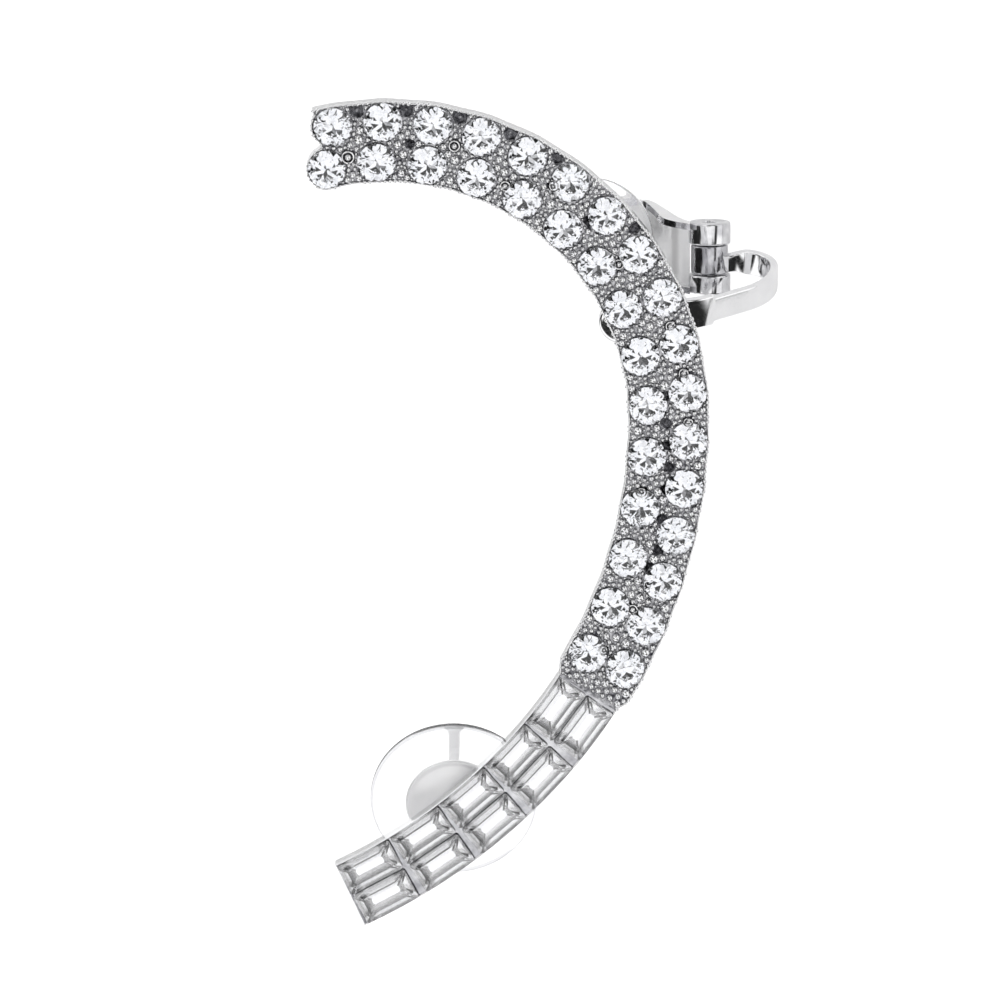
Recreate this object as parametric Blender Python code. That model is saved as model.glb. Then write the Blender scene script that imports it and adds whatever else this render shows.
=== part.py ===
"""Rhinestone ear cuff with an ear post, its clutch and a hinged ear clip.

The band is a flat metal arc that follows the back of the ear. Two rows of
round stones run down most of it and five pairs of baguettes end it. The post
and the clip are soldered to its back. Everything is drawn in the band's own
frame, face up: X to the right, Y towards the top of the ear, Z out of the
face, with Z = 0 on the band's flat back. The last step lays the whole cuff on
the surface that it rests on. Lengths are in metres and angles in radians.
"""

import math
from collections import namedtuple

import bmesh
import bpy
import numpy as np
from mathutils import Matrix, Vector

# Tables of arcs: each row is one arc of a smooth path, and radius 0 is straight.
# A positive radius turns clockwise, seen from the front of the drawing plane.
Arc = namedtuple("Arc", "length radius")
Stone = namedtuple("Stone", "name x y heading")
Bead = namedtuple("Bead", "x y radius")
DomeStep = namedtuple("DomeStep", "out up")

# Band: the midline of the arc, whose last radius runs on to the end, and its metal
BAND_START = (-0.0124, 0.0241)
BAND_HEADING = math.radians(14.9)
BAND_ARCS = (
    Arc(length=0.0346, radius=0.0189),
    Arc(length=0.0253, radius=0.0349),
    Arc(length=math.inf, radius=0.0395),
)
BAND_THICKNESS = 0.0020
BAND_BACK_CHAMFER = 0.00030
BAND_STEP = 0.0015
STEP_NEAREST = 0.35
ROUND_EDGE_WALL = 0.00008
BAGUETTE_EDGE_WALL = 0.00009
END_BULGE_WALL = 0.00010

# Round stones: brilliant cut, girdle just above the metal
ROUND_DIAMETER = 0.0026
ROUND_TABLE_DIAMETER = 0.00145
ROUND_CROWN = 0.00042
ROUND_GIRDLE = 0.00010
ROUND_PAVILION = 0.00110
ROUND_ROW_GAP = 0.00014
OUTER_ROW_COUNT = 17
OUTER_ROW_START = 0.00147
OUTER_STONE_GAP = 0.00054
INNER_ROW_COUNT = 15
INNER_ROW_START = 0.00043
INNER_STONE_GAP = 0.00108

# Baguettes: step cut, laid in pairs along the lower end
BAGUETTE_LENGTH = 0.00394
BAGUETTE_WIDTH = 0.00218
BAGUETTE_CROWN = 0.00040
BAGUETTE_GIRDLE = 0.00012
BAGUETTE_PAVILION = 0.00095
BAGUETTE_BEVEL = 0.00048
BAGUETTE_CORNER = 0.00013
BAGUETTE_KEEL = 0.00044
BAGUETTE_PAIRS = 5
BAGUETTE_LEAD = 0.00109
BAGUETTE_GAP = 0.00010

# Setting: how the stones sit, and the metal grains that hold them
STONE_LIFT = 0.00006
SEAT_CLEARANCE = 0.00003
SEAT_DEPTH = 0.00125
GRAIN_RADIUS = 0.00040
GRAIN_SMALLEST = 0.00016
GRAIN_RISE = 0.00012
GRAIN_CLEARANCE = 0.00004
GRAIN_EDGE_INSET = 0.00042
GRAIN_MID_OFFSET = 0.00045

# The post and the clip's strap lean up from the band's back by the same angle,
# and the hinge at the strap's end stands level with the band again
WEAR_LEAN = math.radians(17)

# Post: soldered to the back behind the baguettes, with a notch near its tip
POST_ALONG = 0.0671
POST_OFFSET = -0.0008
POST_RADIUS = 0.00037
POST_LENGTH = 0.0120
POST_ROOT = 0.00060
POST_TIP_RADIUS = 0.00026
POST_NOTCH_FROM_TIP = 0.00120
POST_NOTCH_WIDTH = 0.00050
POST_NOTCH_DEPTH = 0.00012

# Clutch: a domed metal nut through a clear disc, pushed up the post
CLUTCH_SETBACK = 0.00080
CLUTCH_BORE_CLEARANCE = 0.00006
NUT_HUB_RADIUS = 0.00110
NUT_DOME_RADIUS = 0.00330
NUT_DOME_HEIGHT = 0.00095
NUT_HUB_HEIGHT = 0.00019
NUT_WAIST_RADIUS = 0.00231
NUT_WAIST_DEPTH = 0.00043
NUT_RIM = 0.00035
NUT_RIM_ROLL = 0.00010
NUT_BARREL_RADIUS = 0.00140
NUT_BARREL_LENGTH = 0.00300
DISC_RADIUS = 0.00568
DISC_THICKNESS = 0.00090
DISC_EDGE = 0.00025
DISC_GAP = 0.00005

# Clip strap: a flat strip soldered to the back, bent round to the hinge
CLIP_ALONG = 0.0274
CLIP_OFFSET = -0.0019
CLIP_PAD_RADIUS = 0.00160
CLIP_PAD_THICKNESS = 0.00070
CLIP_PAD_SINK = 0.00020
STRAP_ARCS = (
    Arc(length=0.00380, radius=0.0),
    Arc(length=0.00210, radius=-0.0036),
    Arc(length=0.00320, radius=0.0),
    Arc(length=0.00410, radius=-0.0042),
    Arc(length=0.00450, radius=-0.0022),
)
STRAP_SETBACK = 0.00045
STRAP_THICKNESS = 0.00055
STRAP_WIDTH = 0.00170
STRAP_ROOT_WIDTH = 0.00215
STRAP_ROOT_LENGTH = 0.00620
STRAP_END_WIDTH = 0.00125
STRAP_END_LENGTH = 0.00090
STRAP_RISE = 0.00042
STRAP_STEP = 0.00060

# Hinge: the strap's knuckle between the paddle's two ears, on a pin
HINGE_REACH = 0.00600
HINGE_SETBACK = 0.00870
PIN_RADIUS = 0.00042
PIN_CLEARANCE = 0.00006
PIN_PROUD = 0.00005
KNUCKLE_RADIUS = 0.00125
EAR_RADIUS = 0.00143
EAR_FOOT = -0.00179
LOWER_EAR_HEIGHT = 0.00125
KNUCKLE_HEIGHT = 0.00195
UPPER_EAR_HEIGHT = 0.00147
KNUCKLE_GAP = 0.00008

# Paddle: a cranked spoon with turned edges that stands open from the hinge
PADDLE_ARCS = (
    Arc(length=0.00030, radius=0.0),
    Arc(length=0.00091, radius=0.0010),
    Arc(length=0.00220, radius=0.0),
    Arc(length=0.00102, radius=-0.0013),
    Arc(length=0.00550, radius=0.0),
)
PADDLE_THICKNESS = 0.00045
PADDLE_FLANGE = 0.00100
PADDLE_FLANGE_LENGTH = 0.00380
PADDLE_LIP = 0.00025
PADDLE_ROOT_GAP = 0.00008
PADDLE_RISE = 0.00110
PADDLE_RISE_LENGTH = 0.00400
PADDLE_STEP = 0.00045
PADDLE_END_TURNS = (0, 25, 45, 62, 78)

# Comfort pad: a clear dome whose boss is pressed onto the paddle's inner face
PAD_RADIUS = 0.00410
PAD_THICKNESS = 0.00120
PAD_RIM = 0.00055
PAD_BOSS_RADIUS = 0.00185
PAD_BOSS_HEIGHT = 0.00110
PAD_GAP = 0.00006
# How the dome falls from its crown to its rim, as shares of its radius and thickness
PAD_DOME = (
    DomeStep(out=0.00, up=1.00),
    DomeStep(out=0.50, up=0.93),
    DomeStep(out=0.85, up=0.70),
)
PAD_EDGE = 0.00012

# Densities used to find how the cuff lies: plated brass, glass and clear plastic
METAL_DENSITY = 8400.0
GLASS_DENSITY = 2500.0
PLASTIC_DENSITY = 1150.0

# Facets of round forms
GIRDLE_SIDES = 16
TABLE_SIDES = 8
SEAT_SIDES = 12
GRAIN_SEGMENTS = 6
GRAIN_RINGS = 4
POST_SIDES = 12
TURNED_SIDES = 32
HINGE_SIDES = 20

MERGE_DISTANCE = 1e-7


class ArcPath:
    """A smooth plane path made of arcs, read by its length from the start."""

    def __init__(self, start, heading, arcs):
        self.start = start
        self.heading = heading
        self.arcs = arcs
        self.length = sum(arc.length for arc in arcs)

    def at(self, distance):
        """Return (x, y, heading) at a distance along the path."""
        x, y = self.start
        heading = self.heading
        left = distance
        for index, arc in enumerate(self.arcs):
            last = index == len(self.arcs) - 1
            run = left if last else min(left, arc.length)
            bend = -1.0 / arc.radius if arc.radius else 0.0
            half_turn = 0.5 * run * bend
            chord = run * np.sinc(half_turn / math.pi)
            x += chord * math.cos(heading + half_turn)
            y += chord * math.sin(heading + half_turn)
            heading += run * bend
            left -= run
            if left <= 0.0:
                break
        return x, y, heading

    def beside(self, distance, offset):
        """Return (x, y, heading) at an offset to the left of the path."""
        x, y, heading = self.at(distance)
        return x - offset * math.sin(heading), y + offset * math.cos(heading), heading


def clear_scene():
    """Remove what the scene holds."""
    for item in list(bpy.data.objects):
        bpy.data.objects.remove(item, do_unlink=True)


def new_collection(name):
    """Make a collection in the scene."""
    collection = bpy.data.collections.new(name)
    bpy.context.scene.collection.children.link(collection)
    return collection


def material(name, colour, roughness, metallic, transmission=0.0):
    """Make a Principled material."""
    made = bpy.data.materials.new(name)
    made.use_nodes = True
    shader = made.node_tree.nodes["Principled BSDF"]
    shader.inputs["Base Color"].default_value = (*colour, 1.0)
    shader.inputs["Roughness"].default_value = roughness
    shader.inputs["Metallic"].default_value = metallic
    shader.inputs["Transmission Weight"].default_value = transmission
    return made


def add_object(name, mesh, collection, parent, look=None):
    """Link a mesh as an object under a parent frame."""
    item = bpy.data.objects.new(name, mesh)
    collection.objects.link(item)
    item.parent = parent
    if look is not None:
        mesh.materials.append(look)
    return item


def add_frame(name, collection, parent, location, lean):
    """Add an empty that carries pieces, leaned up about its X axis."""
    frame = bpy.data.objects.new(name, None)
    collection.objects.link(frame)
    frame.parent = parent
    frame.location = location
    frame.rotation_euler = (lean, 0.0, 0.0)
    frame.empty_display_size = 0.002
    return frame


def finish_mesh(name, work, sharp_angle=30.0):
    """Turn a bmesh into a smooth-shaded mesh with outward faces."""
    bmesh.ops.remove_doubles(work, verts=work.verts, dist=MERGE_DISTANCE)
    bmesh.ops.recalc_face_normals(work, faces=work.faces)
    mesh = bpy.data.meshes.new(name)
    work.to_mesh(mesh)
    work.free()
    mesh.shade_smooth()
    mesh.set_sharp_from_angle(angle=math.radians(sharp_angle))
    return mesh


def loft(work, rings):
    """Skin closed rings of equal count and cap both ends."""
    made = [[work.verts.new(point) for point in ring] for ring in rings]
    count = len(made[0])
    for lower, upper in zip(made, made[1:]):
        for i in range(count):
            j = (i + 1) % count
            work.faces.new((lower[i], lower[j], upper[j], upper[i]))
    work.faces.new(list(reversed(made[0])))
    work.faces.new(made[-1])


def circle(radius, height, sides, turn=0.0):
    """Points of a regular polygon about Z."""
    steps = (turn + math.tau * i / sides for i in range(sides))
    return [(radius * math.cos(a), radius * math.sin(a), height) for a in steps]


def turned(name, profile, sides):
    """Revolve a closed (radius, height) outline about Z.

    Points on the axis become poles, and an outline that stays off it makes a
    bored piece.
    """
    work = bmesh.new()
    verts = [work.verts.new((radius, 0.0, height)) for radius, height in profile]
    edges = [work.edges.new(pair) for pair in zip(verts, verts[1:])]
    if profile[0][0] > 0.0:
        edges.append(work.edges.new((verts[-1], verts[0])))
    bmesh.ops.spin(work, geom=verts + edges, axis=(0, 0, 1), cent=(0, 0, 0),
                   angle=math.tau, steps=sides, use_merge=True)
    return finish_mesh(name, work)


def cylinder(work, radius, bottom, top, sides, centre=(0.0, 0.0)):
    """Add a closed cylinder about Z to a bmesh."""
    bmesh.ops.create_cone(
        work, cap_ends=True, segments=sides, radius1=radius, radius2=radius, depth=top - bottom,
        matrix=Matrix.Translation((centre[0], centre[1], 0.5 * (top + bottom))))


def boolean(item, other, operation):
    """Add an exact Boolean of another object, which becomes a hidden guide."""
    step = item.modifiers.new(other.name, "BOOLEAN")
    step.operation = operation
    step.solver = "EXACT"
    step.object = other
    other.hide_render = True
    other.display_type = "WIRE"


def steps_along(length, step, *exact):
    """Even distances from 0 to a length, with some exact ones put in."""
    count = max(2, math.ceil(length / step))
    even = [length * i / count for i in range(count + 1)]
    kept = [d for d in even if all(abs(d - e) > STEP_NEAREST * step for e in exact)]
    return sorted(set(kept) | set(exact) | {0.0, length})


# Layout along the band

def band_path():
    """The midline of the band."""
    return ArcPath(BAND_START, BAND_HEADING, BAND_ARCS)


def round_rows():
    """Each row of round stones: name, count, first place, pitch and offset."""
    offset = 0.5 * (ROUND_DIAMETER + ROUND_ROW_GAP)
    outer_pitch = ROUND_DIAMETER + OUTER_STONE_GAP
    inner_pitch = ROUND_DIAMETER + INNER_STONE_GAP
    return (("outer", OUTER_ROW_COUNT, OUTER_ROW_START, outer_pitch, offset),
            ("inner", INNER_ROW_COUNT, INNER_ROW_START, inner_pitch, -offset))


def round_half_width():
    """Half the band's width where the round stones are."""
    return 0.5 * ROUND_ROW_GAP + ROUND_DIAMETER + ROUND_EDGE_WALL


def baguette_half_width():
    """Half the band's width where the baguettes are."""
    return 0.5 * BAGUETTE_GAP + BAGUETTE_WIDTH + BAGUETTE_EDGE_WALL


def baguette_start():
    """Where the baguettes begin: just past the last round stone of either row."""
    last = max(start + (count - 1) * pitch for _, count, start, pitch, _ in round_rows())
    return last + 0.5 * ROUND_DIAMETER + BAGUETTE_LEAD


def baguette_pitch():
    """Midline distance that keeps the gap at the tight side of the curve."""
    tightest = min(arc.radius for arc in BAND_ARCS[1:])
    return (BAGUETTE_LENGTH + BAGUETTE_GAP) / (1.0 - baguette_half_width() / tightest)


def band_length():
    """The midline's length, to the end of the last pair of baguettes."""
    return baguette_start() + BAGUETTE_PAIRS * baguette_pitch()


def round_stones(path):
    """Places of the round stones: two rows on either side of the midline."""
    places = []
    for row, count, start, pitch, offset in round_rows():
        for i in range(count):
            x, y, heading = path.beside(start + i * pitch, offset)
            places.append(Stone(f"round_stone_{row}_{i + 1:02d}", x, y, heading))
    return places


def baguettes(path):
    """Places of the baguettes: side by side in pairs."""
    offset = 0.5 * (BAGUETTE_WIDTH + BAGUETTE_GAP)
    places = []
    for i in range(BAGUETTE_PAIRS):
        middle = baguette_start() + (i + 0.5) * baguette_pitch()
        for row, side in (("outer", offset), ("inner", -offset)):
            x, y, heading = path.beside(middle, side)
            places.append(Stone(f"baguette_{row}_{i + 1:02d}", x, y, heading))
    return places


def round_stone_mesh():
    """Brilliant: eight-sided table, star and main facets, girdle and point.

    Z = 0 is the lower edge of the girdle.
    """
    work = bmesh.new()
    radius = 0.5 * ROUND_DIAMETER
    top = ROUND_GIRDLE + ROUND_CROWN
    table = [work.verts.new(p) for p in circle(0.5 * ROUND_TABLE_DIAMETER, top, TABLE_SIDES)]
    upper = [work.verts.new(p) for p in circle(radius, ROUND_GIRDLE, GIRDLE_SIDES)]
    lower = [work.verts.new(p) for p in circle(radius, 0.0, GIRDLE_SIDES)]
    point = work.verts.new((0.0, 0.0, -ROUND_PAVILION))
    work.faces.new(table)
    for i in range(TABLE_SIDES):
        here, after = table[i], table[(i + 1) % TABLE_SIDES]
        a, b, c = (upper[(2 * i + k) % GIRDLE_SIDES] for k in range(3))
        work.faces.new((here, a, b))
        work.faces.new((here, b, after))
        work.faces.new((after, b, c))
    for i in range(GIRDLE_SIDES):
        j = (i + 1) % GIRDLE_SIDES
        work.faces.new((lower[i], lower[j], upper[j], upper[i]))
        work.faces.new((lower[j], lower[i], point))
    mesh = finish_mesh("round_stone", work)
    mesh.shade_flat()
    return mesh


def rectangle(length, width, height, cut):
    """An eight-sided ring: a rectangle with cut corners."""
    a, b = 0.5 * length, 0.5 * width
    return [(a, b - cut, height), (a - cut, b, height), (cut - a, b, height), (-a, b - cut, height),
            (-a, cut - b, height), (cut - a, -b, height), (a - cut, -b, height), (a, cut - b, height)]


def baguette_mesh():
    """Step-cut stone: long table, bevelled crown, girdle and a blunt keel."""
    work = bmesh.new()
    corner = BAGUETTE_CORNER
    keel_length = BAGUETTE_LENGTH - 2.0 * BAGUETTE_PAVILION
    table_length = BAGUETTE_LENGTH - 2.0 * BAGUETTE_BEVEL
    table_width = BAGUETTE_WIDTH - 2.0 * BAGUETTE_BEVEL
    top = BAGUETTE_GIRDLE + BAGUETTE_CROWN
    loft(work, (
        rectangle(keel_length, BAGUETTE_KEEL, -BAGUETTE_PAVILION, 0.5 * corner),
        rectangle(BAGUETTE_LENGTH, BAGUETTE_WIDTH, 0.0, corner),
        rectangle(BAGUETTE_LENGTH, BAGUETTE_WIDTH, BAGUETTE_GIRDLE, corner),
        rectangle(table_length, table_width, top, 0.5 * corner),
    ))
    mesh = finish_mesh("baguette", work)
    mesh.shade_flat()
    return mesh


def add_stones(places, mesh, collection, parent):
    """Set stones that share one mesh a little above the band's face."""
    for place in places:
        stone = add_object(place.name, mesh, collection, parent)
        stone.location = (place.x, place.y, BAND_THICKNESS + STONE_LIFT)
        stone.rotation_euler = (0.0, 0.0, place.heading)


# Band

def band_blank_mesh(path):
    """The bare band: a plate with a chamfered back, swept along the midline."""
    neck = baguette_start() - BAGUETTE_GAP
    work = bmesh.new()
    rings = []
    for distance in steps_along(band_length(), BAND_STEP, neck - BAGUETTE_GAP, neck):
        half = round_half_width() if distance < neck else baguette_half_width()
        inset = half - BAND_BACK_CHAMFER
        section = ((-half, BAND_THICKNESS), (-half, BAND_BACK_CHAMFER), (-inset, 0.0),
                   (inset, 0.0), (half, BAND_BACK_CHAMFER), (half, BAND_THICKNESS))
        ring = []
        for offset, height in section:
            x, y, _ = path.beside(distance, offset)
            ring.append((x, y, height))
        rings.append(ring)
    loft(work, rings)
    return finish_mesh("band_blank", work)


def seat_cutter_mesh(rounds, longs):
    """Blind seats: a cone under each round stone, a trough under each baguette."""
    work = bmesh.new()
    clear = SEAT_CLEARANCE
    proud = STONE_LIFT
    slope = 0.5 * ROUND_DIAMETER / ROUND_PAVILION
    mouth = 0.5 * ROUND_DIAMETER - proud * slope + clear
    floor_radius = max(mouth - SEAT_DEPTH * slope, 0.0) + 2.0 * clear
    for stone in rounds:
        place = Matrix.Translation((stone.x, stone.y, 0.0))
        top = [place @ Vector(p) for p in circle(mouth, BAND_THICKNESS + clear, SEAT_SIDES)]
        low = [place @ Vector(p) for p in
               circle(floor_radius, BAND_THICKNESS - SEAT_DEPTH, SEAT_SIDES)]
        loft(work, (low, top))
    side_slope = 0.5 * (BAGUETTE_WIDTH - BAGUETTE_KEEL) / BAGUETTE_PAVILION
    depth = BAGUETTE_PAVILION - proud + 2.0 * clear
    for stone in longs:
        place = Matrix.Translation((stone.x, stone.y, 0.0)) @ Matrix.Rotation(stone.heading, 4, "Z")
        rings = []
        for below in (depth, -clear):
            length = BAGUETTE_LENGTH - 2.0 * (proud + below) + 2.0 * clear
            width = BAGUETTE_WIDTH - 2.0 * (proud + below) * side_slope + 2.0 * clear
            ring = rectangle(length, width, BAND_THICKNESS - below, clear)
            rings.append([place @ Vector(p) for p in ring])
        loft(work, rings)
    return finish_mesh("seat_cutters", work)


def grain_sites(path, rounds):
    """Places of the metal grains between the round stones.

    Each gap of each row has one grain by the band's edge and one by its
    midline. A grain is as large as its neighbours let it be, up to the full
    size, and is left out where there is no room for the smallest.
    """
    edge = round_half_width() - GRAIN_EDGE_INSET
    sites = []
    for offset in (edge, GRAIN_MID_OFFSET):
        for _, count, start, pitch, row_offset in round_rows():
            for i in range(count):
                distance = start + (i + 0.5) * pitch
                x, y, _ = path.beside(distance, math.copysign(offset, row_offset))
                room = min(math.hypot(x - s.x, y - s.y) for s in rounds) - 0.5 * ROUND_DIAMETER
                if sites:
                    room = min(room, min(math.hypot(x - b.x, y - b.y) - b.radius for b in sites))
                radius = min(GRAIN_RADIUS, room - GRAIN_CLEARANCE)
                if radius >= GRAIN_SMALLEST and distance + radius < baguette_start():
                    sites.append(Bead(x, y, radius))
    return sites


def grain_mesh(sites):
    """All grains as low domes that sink into the band."""
    work = bmesh.new()
    for site in sites:
        place = Matrix.Translation((site.x, site.y, BAND_THICKNESS + GRAIN_RISE))
        bmesh.ops.create_uvsphere(work, u_segments=GRAIN_SEGMENTS, v_segments=GRAIN_RINGS,
                                  radius=site.radius, matrix=place)
    return finish_mesh("grains", work)


def end_bulge_mesh(rounds):
    """Rounds of metal about the first stone of each row, at the band's end."""
    work = bmesh.new()
    radius = 0.5 * ROUND_DIAMETER + END_BULGE_WALL
    for stone in (rounds[0], rounds[OUTER_ROW_COUNT]):
        cylinder(work, radius, BAND_BACK_CHAMFER, BAND_THICKNESS, GIRDLE_SIDES, (stone.x, stone.y))
    return finish_mesh("end_bulges", work)


# Post and clutch

def post_mesh():
    """Ear post along -Z, with a round tip and a notch for the clutch."""
    r = POST_RADIUS
    notch_top = POST_NOTCH_FROM_TIP - POST_LENGTH
    groove = r - POST_NOTCH_DEPTH
    half = 0.5 * POST_NOTCH_WIDTH
    profile = (
        (0.0, POST_ROOT), (r, POST_ROOT),
        (r, notch_top + half), (groove, notch_top + 0.5 * half),
        (groove, notch_top - 0.5 * half), (r, notch_top - half),
        (r, r - POST_LENGTH), (POST_TIP_RADIUS, r - POST_TIP_RADIUS - POST_LENGTH),
        (0.0, -POST_LENGTH),
    )
    return turned("post", profile, POST_SIDES)


def clutch_depths():
    """Depths behind the band of the clutch: dome front, dome back, disc and barrel end."""
    front = CLUTCH_SETBACK
    dome_back = front + NUT_DOME_HEIGHT
    disc_front = dome_back + DISC_GAP
    disc_back = disc_front + DISC_THICKNESS
    barrel_end = dome_back + NUT_BARREL_LENGTH
    return front, dome_back, disc_front, disc_back, barrel_end


def clutch_nut_mesh():
    """Metal nut: a hub, a domed flange with a rolled rim, and a barrel behind."""
    bore = POST_RADIUS + CLUTCH_BORE_CLEARANCE
    front, dome_back, _, _, barrel_end = clutch_depths()
    rim_in = NUT_DOME_RADIUS - NUT_RIM
    rolled = NUT_DOME_RADIUS - NUT_RIM_ROLL
    profile = (
        (bore, -front), (NUT_HUB_RADIUS, -front), (NUT_HUB_RADIUS, -front - NUT_HUB_HEIGHT),
        (NUT_WAIST_RADIUS, -front - NUT_WAIST_DEPTH), (rim_in, -dome_back + NUT_RIM),
        (rolled, -dome_back + NUT_RIM + 0.5 * NUT_RIM_ROLL),
        (NUT_DOME_RADIUS, -dome_back + 0.5 * NUT_RIM + 0.5 * NUT_RIM_ROLL), (rolled, -dome_back),
        (NUT_BARREL_RADIUS, -dome_back), (NUT_BARREL_RADIUS, -barrel_end + NUT_RIM_ROLL),
        (NUT_BARREL_RADIUS - NUT_RIM_ROLL, -barrel_end), (bore, -barrel_end),
    )
    return turned("clutch_nut", profile, TURNED_SIDES)


def clutch_disc_mesh():
    """Clear disc with softened edges, bored for the nut's barrel."""
    _, _, disc_front, disc_back, _ = clutch_depths()
    bore = NUT_BARREL_RADIUS + DISC_GAP
    inset = DISC_RADIUS - DISC_EDGE
    profile = (
        (bore, -disc_front), (inset, -disc_front), (DISC_RADIUS, -disc_front - DISC_EDGE),
        (DISC_RADIUS, -disc_back + DISC_EDGE), (inset, -disc_back), (bore, -disc_back),
    )
    return turned("clutch_disc", profile, TURNED_SIDES)


# Clip: everything here is drawn across X and -Z, and the hinge runs along Y

def clip_pad_mesh():
    """Round solder pad where the strap meets the band's back."""
    work = bmesh.new()
    cylinder(work, CLIP_PAD_RADIUS, -CLIP_PAD_THICKNESS, CLIP_PAD_SINK, HINGE_SIDES)
    return finish_mesh("clip_pad", work)


def strap_path():
    """The strap's middle surface in (x, depth), from the solder pad to the hinge."""
    return ArcPath((0.0, STRAP_SETBACK), 0.0, STRAP_ARCS)


def strap_mesh():
    """Flat strip along its path, with a wide root and a narrow end inside the knuckle."""
    hinge = (HINGE_REACH, HINGE_SETBACK)
    path = strap_path()
    work = bmesh.new()
    rings = []
    shoulder = 0.25 * STRAP_STEP
    marks = (STRAP_ROOT_LENGTH - shoulder, STRAP_ROOT_LENGTH + shoulder)
    for distance in steps_along(path.length, STRAP_STEP, *marks):
        width = STRAP_ROOT_WIDTH if distance < STRAP_ROOT_LENGTH else STRAP_WIDTH
        if distance > path.length - STRAP_END_LENGTH:
            width = STRAP_END_WIDTH
        rings.append(strip_ring(path, distance, 0.5 * width, STRAP_RISE, STRAP_THICKNESS))
    x, depth, _ = path.at(path.length)
    end_width = 0.5 * STRAP_END_WIDTH
    reach_x, reach_z = hinge[0] - x, hinge[1] - depth
    across = math.hypot(reach_x, reach_z)
    nx, nz = -reach_z / across, reach_x / across
    half = 0.5 * STRAP_THICKNESS
    rings.append([(hinge[0] + nx * s * half, STRAP_RISE + w * end_width, -(hinge[1] + nz * s * half))
                  for w, s in ((-1, -1), (1, -1), (1, 1), (-1, 1))])
    loft(work, rings)
    return finish_mesh("strap", work)


def strip_ring(path, distance, half, rise, thickness):
    """Four corners of a strip's section at a distance along its path."""
    ring = []
    for w, s in ((-1, -1), (1, -1), (1, 1), (-1, 1)):
        x, depth, _ = path.beside(distance, 0.5 * s * thickness)
        ring.append((x, rise + w * half, -depth))
    return ring


def hinge_levels():
    """Heights along the hinge: lower ear, knuckle and upper ear, as (bottom, top)."""
    lower = (EAR_FOOT, EAR_FOOT + LOWER_EAR_HEIGHT)
    knuckle = (lower[1] + KNUCKLE_GAP, lower[1] + KNUCKLE_GAP + KNUCKLE_HEIGHT)
    upper = (knuckle[1] + KNUCKLE_GAP, knuckle[1] + KNUCKLE_GAP + UPPER_EAR_HEIGHT)
    return lower, knuckle, upper


def hinge_cylinder_mesh(name, radius, bottom, top):
    """A cylinder about the hinge's axis, which is Y."""
    work = bmesh.new()
    cylinder(work, radius, bottom, top, HINGE_SIDES)
    bmesh.ops.rotate(work, verts=work.verts, cent=(0, 0, 0),
                     matrix=Matrix.Rotation(math.radians(-90), 3, "X"))
    return finish_mesh(name, work)


def paddle_path():
    """The paddle's middle surface in (x, depth) from the hinge's axis."""
    start = -(KNUCKLE_RADIUS + PADDLE_ROOT_GAP)
    return ArcPath((start, 0.0), math.pi, PADDLE_ARCS)


def paddle_half_width():
    """Half the paddle's width and the height of its middle at the hinge."""
    lower, _, upper = hinge_levels()
    return 0.5 * (upper[1] - lower[0]), 0.5 * (upper[1] + lower[0])


def paddle_plate_mesh():
    """Spoon with turned edges: a U section swept along the cranked path.

    The edges stand towards the band. They are tallest at the hinge and run out
    to a lip, and the outline closes in a half circle at the free end. The spoon
    climbs along the hinge's axis as it leaves the hinge.
    """
    path = paddle_path()
    half, foot = paddle_half_width()
    t = PADDLE_THICKNESS
    end = path.length
    marks = [end - half * (1.0 - math.sin(math.radians(a))) for a in PADDLE_END_TURNS]
    distances = [d for d in steps_along(end, PADDLE_STEP) if d < marks[0]] + marks
    work = bmesh.new()
    rings = []
    for distance in distances:
        past = max(0.0, distance - marks[0])
        wide = math.sqrt(max(half * half - past * past, 0.0))
        share = min(1.0, distance / PADDLE_FLANGE_LENGTH)
        lip = PADDLE_FLANGE + (PADDLE_LIP - PADDLE_FLANGE) * share
        section = ((-wide, -0.5 * t), (wide, -0.5 * t), (wide, 0.5 * t + lip),
                   (wide - t, 0.5 * t + lip), (wide - t, 0.5 * t), (t - wide, 0.5 * t),
                   (t - wide, 0.5 * t + lip), (-wide, 0.5 * t + lip))
        rise = foot + PADDLE_RISE * min(1.0, distance / PADDLE_RISE_LENGTH)
        ring = []
        for across, towards_band in section:
            x, depth, _ = path.beside(distance, towards_band)
            ring.append((x, rise + across, -depth))
        rings.append(ring)
    loft(work, rings)
    return finish_mesh("paddle_plate", work)


def pad_mesh():
    """Clear comfort pad: a low dome facing +Z on a boss that starts at Z = 0."""
    back = PAD_BOSS_HEIGHT
    crown = [(step.out * PAD_RADIUS, back + step.up * PAD_THICKNESS) for step in PAD_DOME]
    profile = crown + [
        (PAD_RADIUS, back + PAD_RIM), (PAD_RADIUS, back + PAD_EDGE), (PAD_RADIUS - PAD_EDGE, back),
        (PAD_BOSS_RADIUS, back), (PAD_BOSS_RADIUS, 0.0), (0.0, 0.0),
    ]
    return turned("paddle_pad", profile, TURNED_SIDES)


# Assembly

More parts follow.
